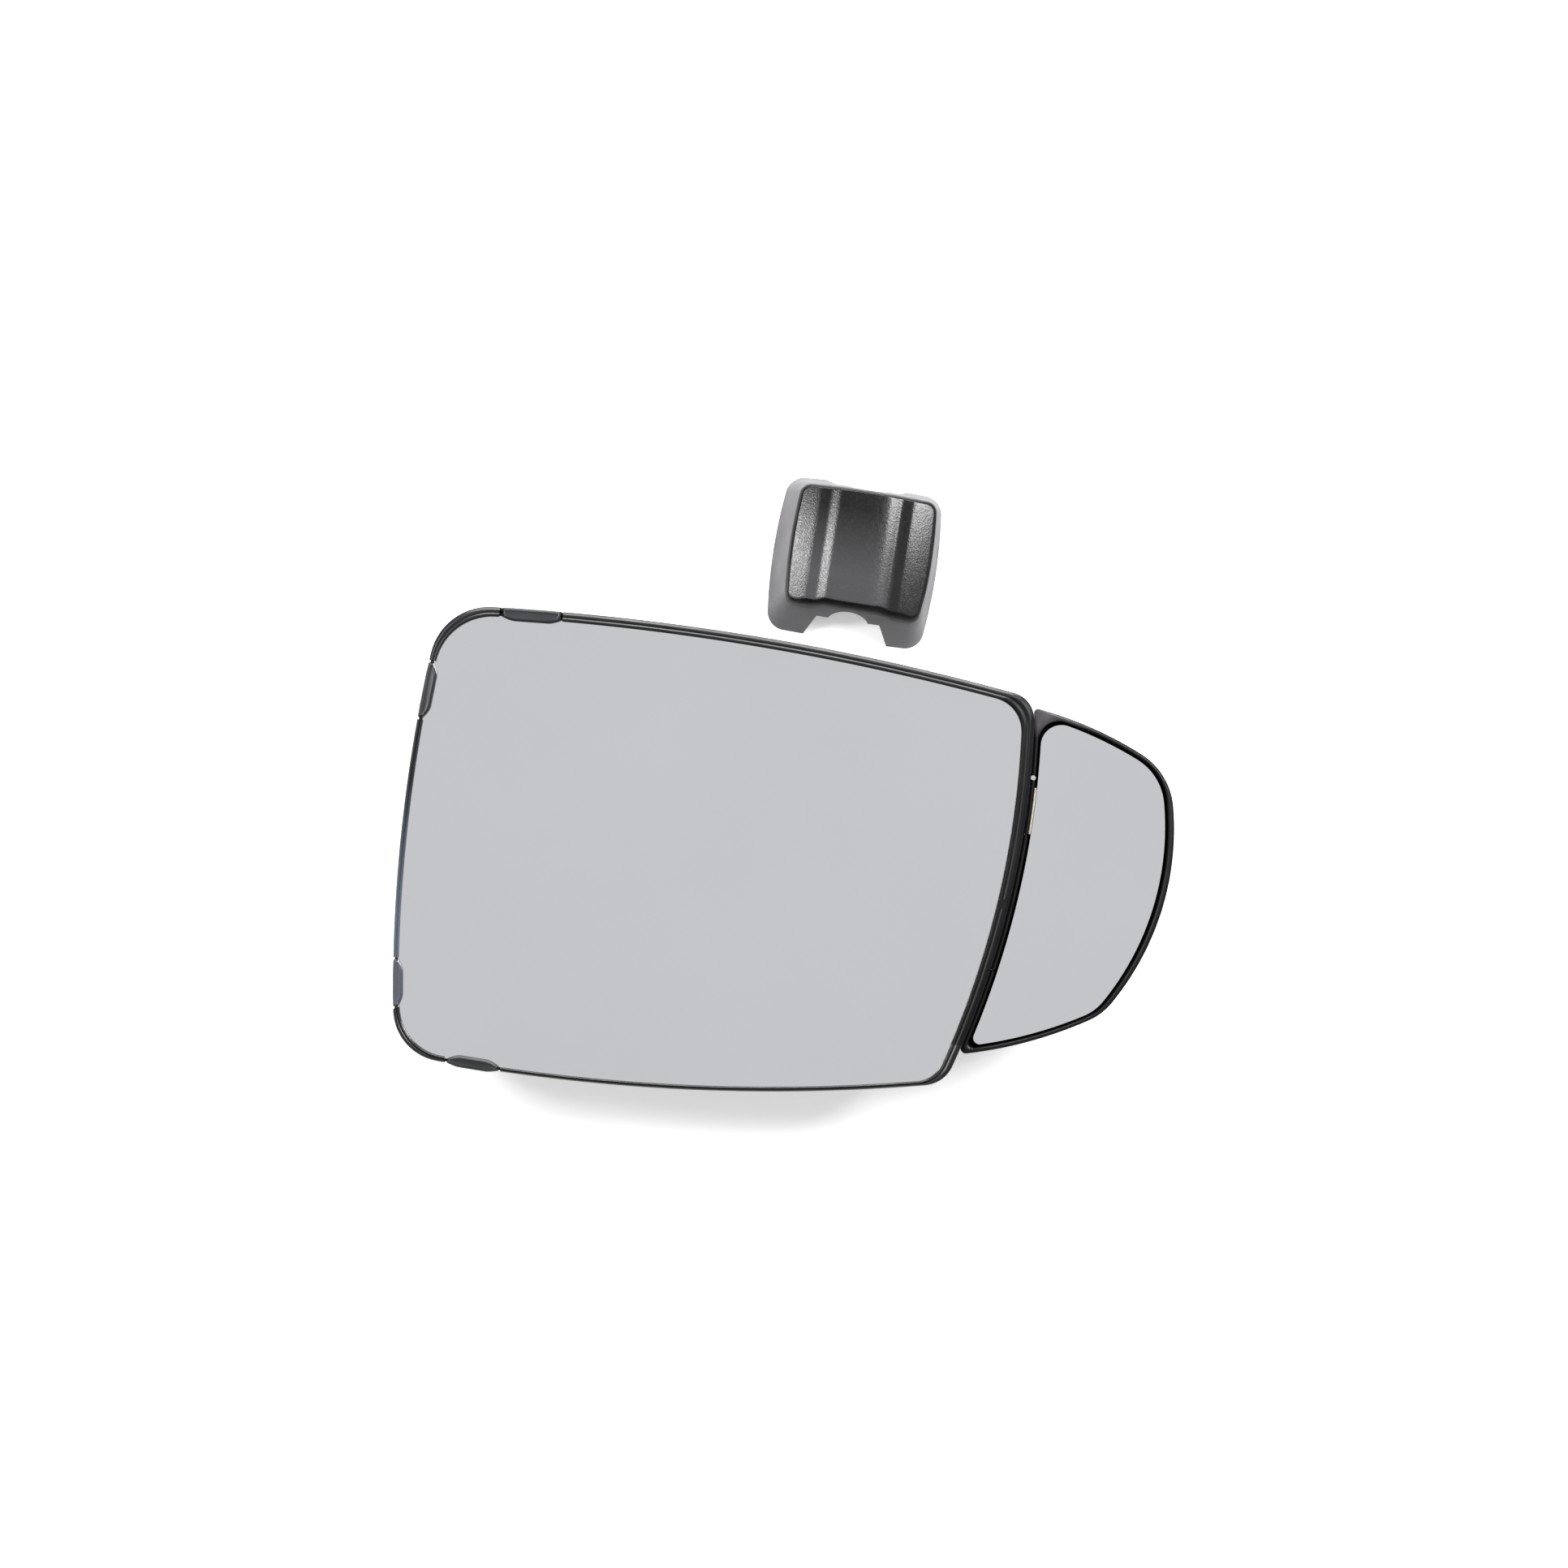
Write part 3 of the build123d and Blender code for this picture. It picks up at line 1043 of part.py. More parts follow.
with BuildPart() as cover_face:
    panel_outline = COVER_ROOF_OUTLINE.even_inset(COVER_PANEL_REVEAL)
    prism(panel_outline, COVER_ROOF_TOP, COVER_PANEL_TOP, base=COVER_FRAME)
    box_on(COVER_FRAME.offset(COVER_PANEL_TOP), -COVER_BAND_LEFT, COVER_BAND_RIGHT,
           COVER_BAND_SETBACK - COVER_LOW_REACH, COVER_TOP_REACH - COVER_BAND_SETBACK, COVER_BAND_RISE)
    chamfer(faces().sort_by(Axis.Z)[-1].edges(), length=COVER_BAND_BEVEL)


# ---------------------------------------------------------------- write every piece

PIECES = {
    "clamp_block": clamp_block, "clamp_cap": clamp_cap, "clamp_screws": clamp_screws, "clamp_nuts": clamp_nuts,
    "knuckle_bracket": knuckle_bracket, "tilt_pin": tilt_pin, "tilt_nut": tilt_nut, "tilt_washers": tilt_washers,
    "bracket_screws": bracket_screws, "main_housing": main_housing, "main_backing_plate": main_backing_plate,
    "backing_screws": backing_screws, "glass_pad": glass_pad, "main_glass": main_glass, "main_rim": main_rim,
    "left_rim": left_rim, "corner_guard_upper": corner_guard_upper, "corner_guard_lower": corner_guard_lower,
    "rim_screw": rim_screw, "hinge_leaf_main": hinge_leaf_main, "hinge_leaf_wing": hinge_leaf_wing,
    "hinge_pin": hinge_pin, "hinge_screws_main": hinge_screws_main, "hinge_screws_wing": hinge_screws_wing,
    "wing_housing": wing_housing, "wing_rim": wing_rim, "hinge_cover": hinge_cover, "rub_strip": rub_strip,
    "strip_rivet": strip_rivet, "gimbal_bracket": gimbal_bracket, "gimbal_screws": gimbal_screws,
    "gimbal_ring": gimbal_ring, "gimbal_tilt_pins": gimbal_tilt_pins, "gimbal_pan_pins": gimbal_pan_pins,
    "wing_backing_plate": wing_backing_plate, "wing_glass_pad": wing_glass_pad,
    "wing_mirror_glass": wing_mirror_glass, "cover_face": cover_face, "cover_skirt": cover_skirt,
}

for piece_name, piece in PIECES.items():
    finish(piece_name, piece.part)
for clip_name, clip_part in clip_parts:
    finish(clip_name, clip_part)
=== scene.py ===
import json
import math

import bmesh
import bpy
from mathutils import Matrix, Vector


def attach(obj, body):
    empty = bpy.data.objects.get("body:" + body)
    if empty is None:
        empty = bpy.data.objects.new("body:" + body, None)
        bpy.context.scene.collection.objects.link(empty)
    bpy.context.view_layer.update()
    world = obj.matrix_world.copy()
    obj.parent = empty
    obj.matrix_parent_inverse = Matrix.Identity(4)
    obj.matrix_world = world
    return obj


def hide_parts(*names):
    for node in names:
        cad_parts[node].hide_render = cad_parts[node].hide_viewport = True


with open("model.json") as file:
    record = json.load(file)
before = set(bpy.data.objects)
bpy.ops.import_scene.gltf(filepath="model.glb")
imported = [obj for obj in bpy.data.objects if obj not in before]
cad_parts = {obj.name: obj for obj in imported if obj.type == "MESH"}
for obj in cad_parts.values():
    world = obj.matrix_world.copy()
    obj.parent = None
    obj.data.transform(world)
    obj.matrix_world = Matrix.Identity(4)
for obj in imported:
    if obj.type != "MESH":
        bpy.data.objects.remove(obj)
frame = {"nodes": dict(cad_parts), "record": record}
bpy.context.scene.view_settings.view_transform = "Standard"
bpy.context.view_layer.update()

MM = 0.001

# ------------------------------------------------------------ sizes, in millimetres

# Heights from the arm's axis
TABLE = -11.0
RIM_BASE = 50.0
GLASS_TOP = 55.0
RIM_TOP = 57.0
WING_RIM_TOP = 49.0

# Main head outline, clockwise from the upper left: corners, side bows, corner rounds
HEAD_CORNERS = [(-139.0, 101.1), (102.0, 62.8), (65.2, -94.0), (-158.7, -81.4)]
HEAD_BOWS = [7.3, 9.0, 8.3, 6.8]
HEAD_ROUNDS = [24.4, 11.0, 13.4, 21.6]
PANE_ROUNDS = [23.4, 13.6, 12.0, 20.6]
LEAST_ROUND = 0.6

# Rim: each side's width, what the segments between the guards lose, the guards' widths, and the
# heights between which the seam's side has a painted shade (a darker, duller black)
RIM_WIDTHS = (4.1, 4.8, 2.2, 2.4)
RIM_TRIMS = (0.0, 0.0, 0.42, 0.1)
GUARD_WIDTHS = (4.1, 4.8, 2.5, 2.8)
SEAM_SHADE_SPAN = (-78.0, 63.0)
RIM_LIP = 0.5

# Clips: name, side, place along the side, length, reach inward and outward
CLIPS = [
    ("clip_top", 0, 0.149, 23.8, 5.3, 0.0),
    ("clip_bottom", 2, 0.857, 21.0, 3.9, 0.9),
    ("clip_lower_left", 3, 0.154, 19.0, 4.0, 0.0),
    ("clip_upper_left", 3, 0.808, 22.6, 4.5, 0.0),
]
CLIP_END_MARGIN = 0.2
CLIP_TAPER = 5.5
CLIP_RISE = 0.7
CLIP_GAP = 1.0
CLIP_SEAT = 0.02
CLIP_STEPS = 12
STEM_GAP = 0.15
STEM_SEAT = 0.05
STEM_SETBACK = 0.2

# Wing outline
WING_GAP = 0.6
WING_HIGH_Y = 59.2
WING_LOW_Y = -82.7
WING_OUTER_CORNERS = [(157.3, 32.6), (130.0, -66.4)]
WING_BOWS = [3.0, 12.5, 2.7]
WING_ROUNDS = [1.4, 28.0, 25.0, 2.0]
WING_PANE_ROUNDS = [8.5, 23.0, 20.0, 2.6]
WING_RIM_WIDTHS = (1.9, 2.6, 1.9, 2.0)
WING_INNER_ROUND_TRIM = 0.4
HINGE_HIGH_Y = 7.6
HINGE_LOW_Y = -47.8
HINGE_CHANNEL_TOP = 47.1
BAND_CUT = 0.4
RUB_STRIP_Y = 17.5
RUB_STRIP_LENGTH = 19.0
# The felt strip's section: distance in from the wing's edge, and height
RUB_STRIP_SECTION = [(1.9, 48.6), (1.95, 49.2), (2.1, 49.4), (2.55, 49.4), (2.7, 49.2), (2.75, 48.6)]

# Clamp cover
COVER_X = 32.2
COVER_Y = 124.5
COVER_TURN = -8.8
COVER_HALF_WIDTH = 28.8
COVER_TOP_REACH = 26.0
COVER_LOW_REACH = 23.4
COVER_BOWS = [1.0, 1.4, 0.5, 1.4]
COVER_ROUND = 5.0

# Camera: straight above. The picture is as wide as FRAME_WIDTH at the rim's top
CAMERA_X = 0.0
CAMERA_Y = 28.0
CAMERA_DISTANCE = 1400.0
FRAME_WIDTH = 637.6
SENSOR_WIDTH = 36.0
CAMERA_FAR_LIMIT = 20000.0

# Light: the dome's brightness and lean, then soft boxes (place and size in metres, radiance)
# and the point that they face
DOME_TOP = 0.64
DOME_HORIZON = 0.1
DOME_LEAN = (0.05, 0.1, 0.994)
LIGHT_TARGET = (0.0, 0.05, 0.03)
FLOOR_COLOUR = (0.93, 0.93, 0.93)
FLOOR_LIFT = 0.4
FLOOR_HALF_WIDTH = 14000.0
SOFT_BOXES = [
    ("box_upper", (0.1, 1.6, 0.68), (1.7, 0.4), 18.0),
    ("box_left", (-0.87, 0.38, 1.3), (0.26, 0.5), 32.0),
    ("box_right", (0.96, 0.55, 1.3), (0.5, 0.52), 35.0),
]

# Points along a side and round a corner, and the angles at which edges stay crisp, in degrees
SIDE_STEPS = 48
CORNER_STEPS = 14
RIM_CREASE = 40.0
CLIP_CREASE = 50.0
FACE_CREASE = 60.0
WELD_DISTANCE = 1e-7


# ------------------------------------------------------------ outlines in plan

def meeting(first, second):
    """Where two lines, each a point and a direction, meet."""
    (x0, y0), (ux, uy) = first
    (x1, y1), (vx, vy) = second
    step = ((x1 - x0) * vy - (y1 - y0) * vx) / (ux * vy - uy * vx)
    return (x0 + ux * step, y0 + uy * step)


def circle_meeting(first, second, near):
    """The crossing of two circles, each a centre and a radius, that is nearest to a point."""
    (ax, ay), r = first
    (bx, by), s = second
    gap = math.hypot(bx - ax, by - ay)
    along = (gap * gap + r * r - s * s) / (2 * gap)
    rise = math.sqrt(max(r * r - along * along, 0.0))
    ux, uy = (bx - ax) / gap, (by - ay) / gap
    crossings = [(ax + ux * along - uy * k * rise, ay + uy * along + ux * k * rise) for k in (-1, 1)]
    return min(crossings, key=lambda p: math.hypot(p[0] - near[0], p[1] - near[1]))


class Outline:
    """A closed clockwise outline: corners, the outward bow of the side that starts at each
    corner, and the round of each corner."""

    def __init__(self, corners, bows, rounds):
        self.corners = corners
        self.bows = bows
        self.rounds = rounds

    def side(self, index):
        """A side's start, end, length and direction."""
        start = self.corners[index]
        end = self.corners[(index + 1) % len(self.corners)]
        length = math.hypot(end[0] - start[0], end[1] - start[1])
        along = ((end[0] - start[0]) / length, (end[1] - start[1]) / length)
        return start, end, length, along

    def inset(self, widths, rounds=None):
        """The outline with each side moved inward by its own width."""
        count = len(self.corners)
        if rounds is None:
            rounds = [
                max(self.rounds[i] - (widths[i - 1] + widths[i]) / 2, LEAST_ROUND) for i in range(count)
            ]
        rough = Outline(self.shifted_corners(widths), self.bows, rounds)
        shares = [(rough.side(i)[2] / self.side(i)[2]) ** 2 for i in range(count)]
        chord_widths = [w - bow * (1 - share) for w, bow, share in zip(widths, self.bows, shares)]
        bows = [bow * share for bow, share in zip(self.bows, shares)]
        return Outline(self.shifted_corners(chord_widths), bows, rounds)

    def even_inset(self, width):
        """The outline with all its sides moved inward alike."""
        return self.inset([width] * len(self.corners))

    def shifted_corners(self, widths):
        """Where the sides meet when each is moved inward by its own width."""
        lines = []
        for index, width in enumerate(widths):
            start, _, _, along = self.side(index)
            lines.append(((start[0] + along[1] * width, start[1] - along[0] * width), along))
        return [meeting(lines[i - 1], lines[i]) for i in range(len(lines))]

    def station(self, index, fraction):
        """A point on a bowed side and the side's direction there, in radians."""
        start, _, length, along = self.side(index)
        bow = self.bows[index]
        rise = bow * (1 - (2 * fraction - 1) ** 2)
        reach = length * fraction
        point = (start[0] + along[0] * reach - along[1] * rise, start[1] + along[1] * reach + along[0] * rise)
        return point, math.atan2(along[1], along[0]) + 4 * bow * (1 - 2 * fraction) / length

    def circle(self, index):
        """Centre and radius of a side's arc. The radius is negative where the side bows inward."""
        start, end, length, along = self.side(index)
        bow = self.bows[index]
        radius = (length ** 2 / 4 + bow ** 2) / (2 * bow)
        middle = ((start[0] + end[0]) / 2, (start[1] + end[1]) / 2)
        reach = radius - bow
        return (middle[0] + along[1] * reach, middle[1] - along[0] * reach), radius

    def corner_arc(self, index):
        """The fillet at a corner: its centre and the tangent points on the sides before and after."""
        round_radius = self.rounds[index]
        before, after = self.circle(index - 1), self.circle(index)
        near = self.corners[index]
        centre = circle_meeting(
            (before[0], abs(before[1] - round_radius)), (after[0], abs(after[1] - round_radius)), near
        )
        touches = []
        for side_centre, radius in (before, after):
            dx, dy = centre[0] - side_centre[0], centre[1] - side_centre[1]
            reach = abs(radius) / math.hypot(dx, dy)
            touches.append((side_centre[0] + dx * reach, side_centre[1] + dy * reach))
        return centre, touches[0], touches[1]

    def point_at(self, index, base, reach):
        """The point of a side's arc at a distance along the chord of the same side of a base outline."""
        start, _, _, along = base.side(index)
        (cx, cy), radius = self.circle(index)
        foot = (start[0] + along[0] * reach, start[1] + along[1] * reach)
        shift = (cx - foot[0]) * along[0] + (cy - foot[1]) * along[1]
        rise = math.sqrt(max(radius * radius - shift * shift, 0.0)) * (1 if radius > 0 else -1)
        return (
            cx - along[0] * shift - along[1] * rise,
            cy - along[1] * shift + along[0] * rise,
        )

    def reach_of(self, index, base, point):
        """How far along the chord of a base outline's side a point lies."""
        start, _, _, along = base.side(index)
        return (point[0] - start[0]) * along[0] + (point[1] - start[1]) * along[1]

    def side_points(self, index, base, low, high):
        """Evenly spread points of a side between two reaches."""
        return [
            self.point_at(index, base, low + (high - low) * k / SIDE_STEPS) for k in range(SIDE_STEPS + 1)
        ]

    def corner_points(self, index):
        """Points of a corner's round, without its ends."""
        centre, first, last = self.corner_arc(index)
        low = math.atan2(first[1] - centre[1], first[0] - centre[0])
        turn = math.atan2(last[1] - centre[1], last[0] - centre[0]) - low
        turn = (turn + math.pi) % (2 * math.pi) - math.pi
        radius = self.rounds[index]
        return [
            (centre[0] + radius * math.cos(low + turn * k / CORNER_STEPS),
             centre[1] + radius * math.sin(low + turn * k / CORNER_STEPS))
            for k in range(1, CORNER_STEPS)
        ]

    def trace(self, base, start, end):
        """Points from one place to another, each a side and a reach along the base outline's side."""
        count = len(self.corners)
        index, low = start
        points = []
        while True:
            last_stretch = index == end[0] and (points or end[1] > low)
            if last_stretch:
                high = end[1]
            else:
                high = self.reach_of(index, base, self.corner_arc((index + 1) % count)[1])
            points += self.side_points(index, base, low, high)
            if last_stretch:
                return points
            index = (index + 1) % count
            points += self.corner_points(index)
            low = self.reach_of(index, base, self.corner_arc(index)[2])

    def loop(self):
        """All the outline's points, once round."""
        points = []
        for index in range(len(self.corners)):
            low = self.reach_of(index, self, self.corner_arc(index)[2])
            high = self.reach_of(index, self, self.corner_arc((index + 1) % len(self.corners))[1])
            points += self.side_points(index, self, low, high)
            points += self.corner_points((index + 1) % len(self.corners))
        return points


HEAD = Outline(HEAD_CORNERS, HEAD_BOWS, HEAD_ROUNDS)
SEAM_CENTRE, SEAM_RADIUS = HEAD.circle(1)


def seam_x(y, gap=0.0):
    """The seam's x at a given y, moved towards the wing by a gap."""
    return SEAM_CENTRE[0] + math.sqrt((SEAM_RADIUS + gap) ** 2 - (y - SEAM_CENTRE[1]) ** 2)


def wing_outline():
    """The wing's outline: its inner side runs beside the seam, a gap away."""
    high = (seam_x(WING_HIGH_Y, WING_GAP), WING_HIGH_Y)
    low = (seam_x(WING_LOW_Y, WING_GAP), WING_LOW_Y)
    chord = math.hypot(high[0] - low[0], high[1] - low[1])
    radius = SEAM_RADIUS + WING_GAP
    seam_bow = radius - math.sqrt(radius ** 2 - chord ** 2 / 4)
    return Outline([high] + WING_OUTER_CORNERS + [low], WING_BOWS + [-seam_bow], WING_ROUNDS)


WING = wing_outline()


# ------------------------------------------------------------ materials

NOISE_ROUGHNESS = 0.55
METAL_DULLING = 0.8
MIRROR_DIMMING = 0.985

# Where the painted reflection, painted light and painted sheen change, in millimetres: first and last place
# of each change
LEFT_RIM_REFLECTION_Y = (-25.0, 30.0)
WING_PAINTED_LIGHT_X = (108.0, 127.0)
WING_PAINTED_LIGHT_Y = (47.0, 52.0)
COVER_SHEEN_ALONG = (-10.0, 19.0)
COVER_SHEEN_ACROSS = (11.5, 15.5)

# The share of the cover's painted sheen that is left on its right flank
COVER_FLANK_SHEEN = 0.1


def material(name, colour, roughness, specular=0.5, metallic=0.0):
    """A material with a Principled shader."""
    made = bpy.data.materials.new(name)
    made.use_nodes = True
    shader = made.node_tree.nodes["Principled BSDF"]
    shader.inputs["Base Color"].default_value = (*colour, 1.0)
    shader.inputs["Roughness"].default_value = roughness
    shader.inputs["Specular IOR Level"].default_value = specular
    shader.inputs["Metallic"].default_value = metallic
    return made


def noise(made, scale, detail=3.0):
    """A noise texture in object space."""
    tree = made.node_tree
    place = tree.nodes.new("ShaderNodeTexCoord")
    texture = tree.nodes.new("ShaderNodeTexNoise")
    texture.inputs["Scale"].default_value = scale
    texture.inputs["Detail"].default_value = detail
    texture.inputs["Roughness"].default_value = NOISE_ROUGHNESS
    tree.links.new(place.outputs["Object"], texture.inputs["Vector"])
    return texture.outputs["Fac"]


def cells(made, scale):
    """Leather-like cells in object space: the distance to the nearest cell's edge."""
    tree = made.node_tree
    place = tree.nodes.new("ShaderNodeTexCoord")
    texture = tree.nodes.new("ShaderNodeTexVoronoi")
    texture.feature = "SMOOTH_F1"
    texture.inputs["Scale"].default_value = scale
    tree.links.new(place.outputs["Object"], texture.inputs["Vector"])
    return texture.outputs["Distance"]


def axes(made):
    """The place in object space, as the outputs X, Y and Z."""
    tree = made.node_tree
    place = tree.nodes.new("ShaderNodeTexCoord")
    split = tree.nodes.new("ShaderNodeSeparateXYZ")
    tree.links.new(place.outputs["Object"], split.inputs["Vector"])
    return split.outputs


def calculate(made, operation, *sources):
    """One step of arithmetic on outputs or plain numbers."""
    node = made.node_tree.nodes.new("ShaderNodeMath")
    node.operation = operation
    for socket, source in zip(node.inputs, sources):
        if isinstance(source, float):
            socket.default_value = source
        else:
            made.node_tree.links.new(source, socket)
    return node.outputs["Value"]


def spread(made, source, low, high, from_low=0.3, from_high=0.7):
    """Maps a value from one range to another, held at its ends."""
    node = made.node_tree.nodes.new("ShaderNodeMapRange")
    node.inputs["From Min"].default_value = from_low
    node.inputs["From Max"].default_value = from_high
    node.inputs["To Min"].default_value = low
    node.inputs["To Max"].default_value = high
    made.node_tree.links.new(source, node.inputs["Value"])
    return node.outputs["Result"]


def vary_roughness(made, source, low, high):
    """Drives the roughness between two values."""
    shader = made.node_tree.nodes["Principled BSDF"]
    made.node_tree.links.new(spread(made, source, low, high), shader.inputs["Roughness"])


def vary_colour(made, source, first, second, low=0.3, high=0.7):
    """Drives the colour from a first to a second as the source goes from low to high."""
    tree = made.node_tree
    mix = tree.nodes.new("ShaderNodeMix")
    mix.data_type = "RGBA"
    mix.inputs["A"].default_value = (*first, 1.0)
    mix.inputs["B"].default_value = (*second, 1.0)
    tree.links.new(spread(made, source, 0.0, 1.0, low, high), mix.inputs["Factor"])
    tree.links.new(mix.outputs["Result"], tree.nodes["Principled BSDF"].inputs["Base Color"])


def bump(made, source, depth_mm, strength=1.0):
    """Drives a fine relief."""
    tree = made.node_tree
    node = tree.nodes.new("ShaderNodeBump")
    node.inputs["Strength"].default_value = strength
    node.inputs["Distance"].default_value = depth_mm * MM
    tree.links.new(source, node.inputs["Height"])
    tree.links.new(node.outputs["Normal"], tree.nodes["Principled BSDF"].inputs["Normal"])


def mould(made, roughness, grain=1400.0, depth=0.012):
    """A moulded surface: uneven gloss and a fine grain."""
    vary_roughness(made, noise(made, scale=35.0, detail=5.0), *roughness)
    bump(made, noise(made, scale=grain, detail=2.0), depth)


def satin_plastic(name, colour, wear, roughness=(0.3, 0.42), specular=0.3, grain=1400.0, depth=0.012):
    """Moulded plastic with faint mottling."""
    made = material(name, colour, roughness[0], specular)
    vary_colour(made, noise(made, scale=60.0, detail=4.0), colour, wear)
    mould(made, roughness, grain, depth)
    return made


def metal(name, colour, roughness=(0.25, 0.45), grain=900.0, depth=0.01):
    """Bare or coated metal, dulled in patches."""
    made = material(name, colour, roughness[0], metallic=1.0)
    dull = tuple(channel * METAL_DULLING for channel in colour)
    vary_colour(made, noise(made, scale=90.0, detail=5.0), colour, dull)
    vary_roughness(made, noise(made, scale=160.0, detail=4.0), *roughness)
    bump(made, noise(made, scale=grain, detail=3.0), depth)
    return made


def left_rim_reflection():
    """The left rim: black plastic with a painted blue-grey reflection, lightest at its low end and darker
    towards its upper end.
    """
    made = material("rim_painted_blue_reflection", (0.04, 0.05, 0.065), roughness=0.34, specular=0.24)
    low, high = (place * MM for place in LEFT_RIM_REFLECTION_Y)
    # Painted reflection: the colour runs from a light blue-grey low on the rim to near black higher up
    vary_colour(made, axes(made)["Y"], (0.066, 0.082, 0.108), (0.008, 0.009, 0.011), low, high)
    mould(made, (0.3, 0.4))
    return made


def wing_black_painted_light():
    """The wing's band: black plastic, with painted light in grey at its upper left corner."""
    made = material("wing_black_painted_light", (0.004, 0.004, 0.0045), roughness=0.3, specular=0.26)
    place = axes(made)
    left_end = spread(made, place["X"], 1.0, 0.0, *(x * MM for x in WING_PAINTED_LIGHT_X))
    top_end = spread(made, place["Y"], 0.0, 1.0, *(y * MM for y in WING_PAINTED_LIGHT_Y))
    # Painted light: the band's upper left corner is coloured grey as if lit
    painted_light = calculate(made, "MULTIPLY", left_end, top_end)
    vary_colour(made, painted_light, (0.0045, 0.0046, 0.0052), (0.058, 0.055, 0.059), 0.0, 1.0)
    mould(made, (0.27, 0.37))
    return made


def mirror_glass():
    """Silvered glass, very slightly uneven in tint and gloss."""
    tint = (0.883, 0.892, 0.933)
    made = material("mirror_glass", tint, roughness=0.015, metallic=1.0)
    darker = tuple(channel * MIRROR_DIMMING for channel in tint)
    vary_colour(made, noise(made, scale=14.0, detail=3.0), tint, darker, 0.35, 0.65)
    vary_roughness(made, noise(made, scale=9.0, detail=4.0), 0.012, 0.03)
    return made


def felt():
    """Tan felt with a fibrous nap."""
    made = material("tan_felt", (0.52, 0.43, 0.33), roughness=0.95, specular=0.1)
    vary_colour(made, noise(made, scale=900.0, detail=5.0), (0.42, 0.34, 0.25), (0.62, 0.54, 0.44))
    bump(made, noise(made, scale=1500.0, detail=4.0), 0.15)
    made.node_tree.nodes["Principled BSDF"].inputs["Sheen Weight"].default_value = 0.5
    return made


def along_cover(made, angle):
    """The distance along a line at an angle from the cover's width, and its value at the middle."""
    tree = made.node_tree
    place = tree.nodes.new("ShaderNodeTexCoord")
    dot = tree.nodes.new("ShaderNodeVectorMath")
    dot.operation = "DOT_PRODUCT"
    turn = math.radians(COVER_TURN + angle)
    dot.inputs[1].default_value = (math.cos(turn), math.sin(turn), 0.0)
    tree.links.new(place.outputs["Object"], dot.inputs[0])
    middle = (COVER_X * math.cos(turn) + COVER_Y * math.sin(turn)) * MM
    return dot.outputs["Value"], middle


def grained_black():
    """The cover's face: dark plastic with a fine leather-like grain, and a painted sheen that lightens its
    middle towards the low end.
    """
    made = material("cover_grained_black", (0.01, 0.0104, 0.012), roughness=0.24, specular=0.38)
    along, middle = along_cover(made, 90.0)
    low_end = spread(made, along, 1.0, 0.0, *(middle + place * MM for place in COVER_SHEEN_ALONG))
    across, middle = along_cover(made, 0.0)
    edges = [middle + place * MM for place in COVER_SHEEN_ACROSS]
    # Painted sheen: the face's middle is coloured lighter towards its low end, less so on the right flank
    painted_sheen = calculate(made, "MULTIPLY", low_end, spread(made, across, 1.0, COVER_FLANK_SHEEN, *edges))
    vary_colour(made, painted_sheen, (0.0015, 0.0016, 0.002), (0.044, 0.0425, 0.045), 0.0, 1.0)
    vary_roughness(made, noise(made, scale=700.0), 0.19, 0.3)
    bump(made, cells(made, scale=1900.0), 0.05, strength=0.8)
    return made


def soft_grey():
    """The cover's skirt: pale grey soft plastic."""
    made = material("cover_soft_grey", (0.14, 0.136, 0.142), roughness=0.6, specular=0.35)
    vary_colour(made, noise(made, scale=45.0, detail=4.0), (0.132, 0.128, 0.134), (0.15, 0.145, 0.152))
    vary_roughness(made, noise(made, scale=70.0, detail=4.0), 0.5, 0.68)
    bump(made, noise(made, scale=1800.0), 0.02)
    return made


RIM_BLACK = satin_plastic("rim_black", (0.004, 0.0043, 0.005), (0.008, 0.0084, 0.0095), (0.26, 0.36), 0.4)
# A darker, duller copy of the rim black: painted shade for the rim beside the wing
RIM_SEAM_SHADE = satin_plastic("rim_black_painted_shade", (0.003, 0.0032, 0.0038), (0.006, 0.0062, 0.007), (0.3, 0.4), 0.15)
WING_BLACK = wing_black_painted_light()
RIM_PAINTED_REFLECTION = left_rim_reflection()
CLIP_BLACK = satin_plastic("clip_black", (0.012, 0.0125, 0.015), (0.02, 0.021, 0.024), (0.28, 0.38), 0.4)
# A lighter blue-grey copy of the clip black for the lower left clip: a painted reflection
CLIP_PAINTED_REFLECTION = satin_plastic("clip_painted_blue_reflection", (0.045, 0.05, 0.062), (0.058, 0.064, 0.078), (0.3, 0.4), 0.35)
HOUSING_BLACK = satin_plastic(
    "housing_black", (0.016, 0.0165, 0.018), (0.024, 0.0245, 0.026), (0.42, 0.56), 0.35,
    grain=1100.0, depth=0.05,
)
BACKING_DARK = satin_plastic("backing_dark", (0.03, 0.03, 0.032), (0.045, 0.045, 0.047), (0.45, 0.6))
NYLON = satin_plastic("nylon", (0.7, 0.69, 0.63), (0.62, 0.6, 0.54), (0.35, 0.5), 0.4)
FOAM = satin_plastic("foam", (0.03, 0.03, 0.03), (0.05, 0.05, 0.05), (0.8, 0.95), 0.2, grain=700.0, depth=0.1)
STEEL = metal("zinc_steel", (0.62, 0.62, 0.6))
BLACK_STEEL = metal("blackened_steel", (0.018, 0.018, 0.019), (0.4, 0.55))
CAST_ALLOY = metal("cast_alloy", (0.4, 0.41, 0.42), (0.42, 0.6), grain=700.0, depth=0.06)
MIRROR = mirror_glass()
FELT = felt()
COVER_BLACK = grained_black()
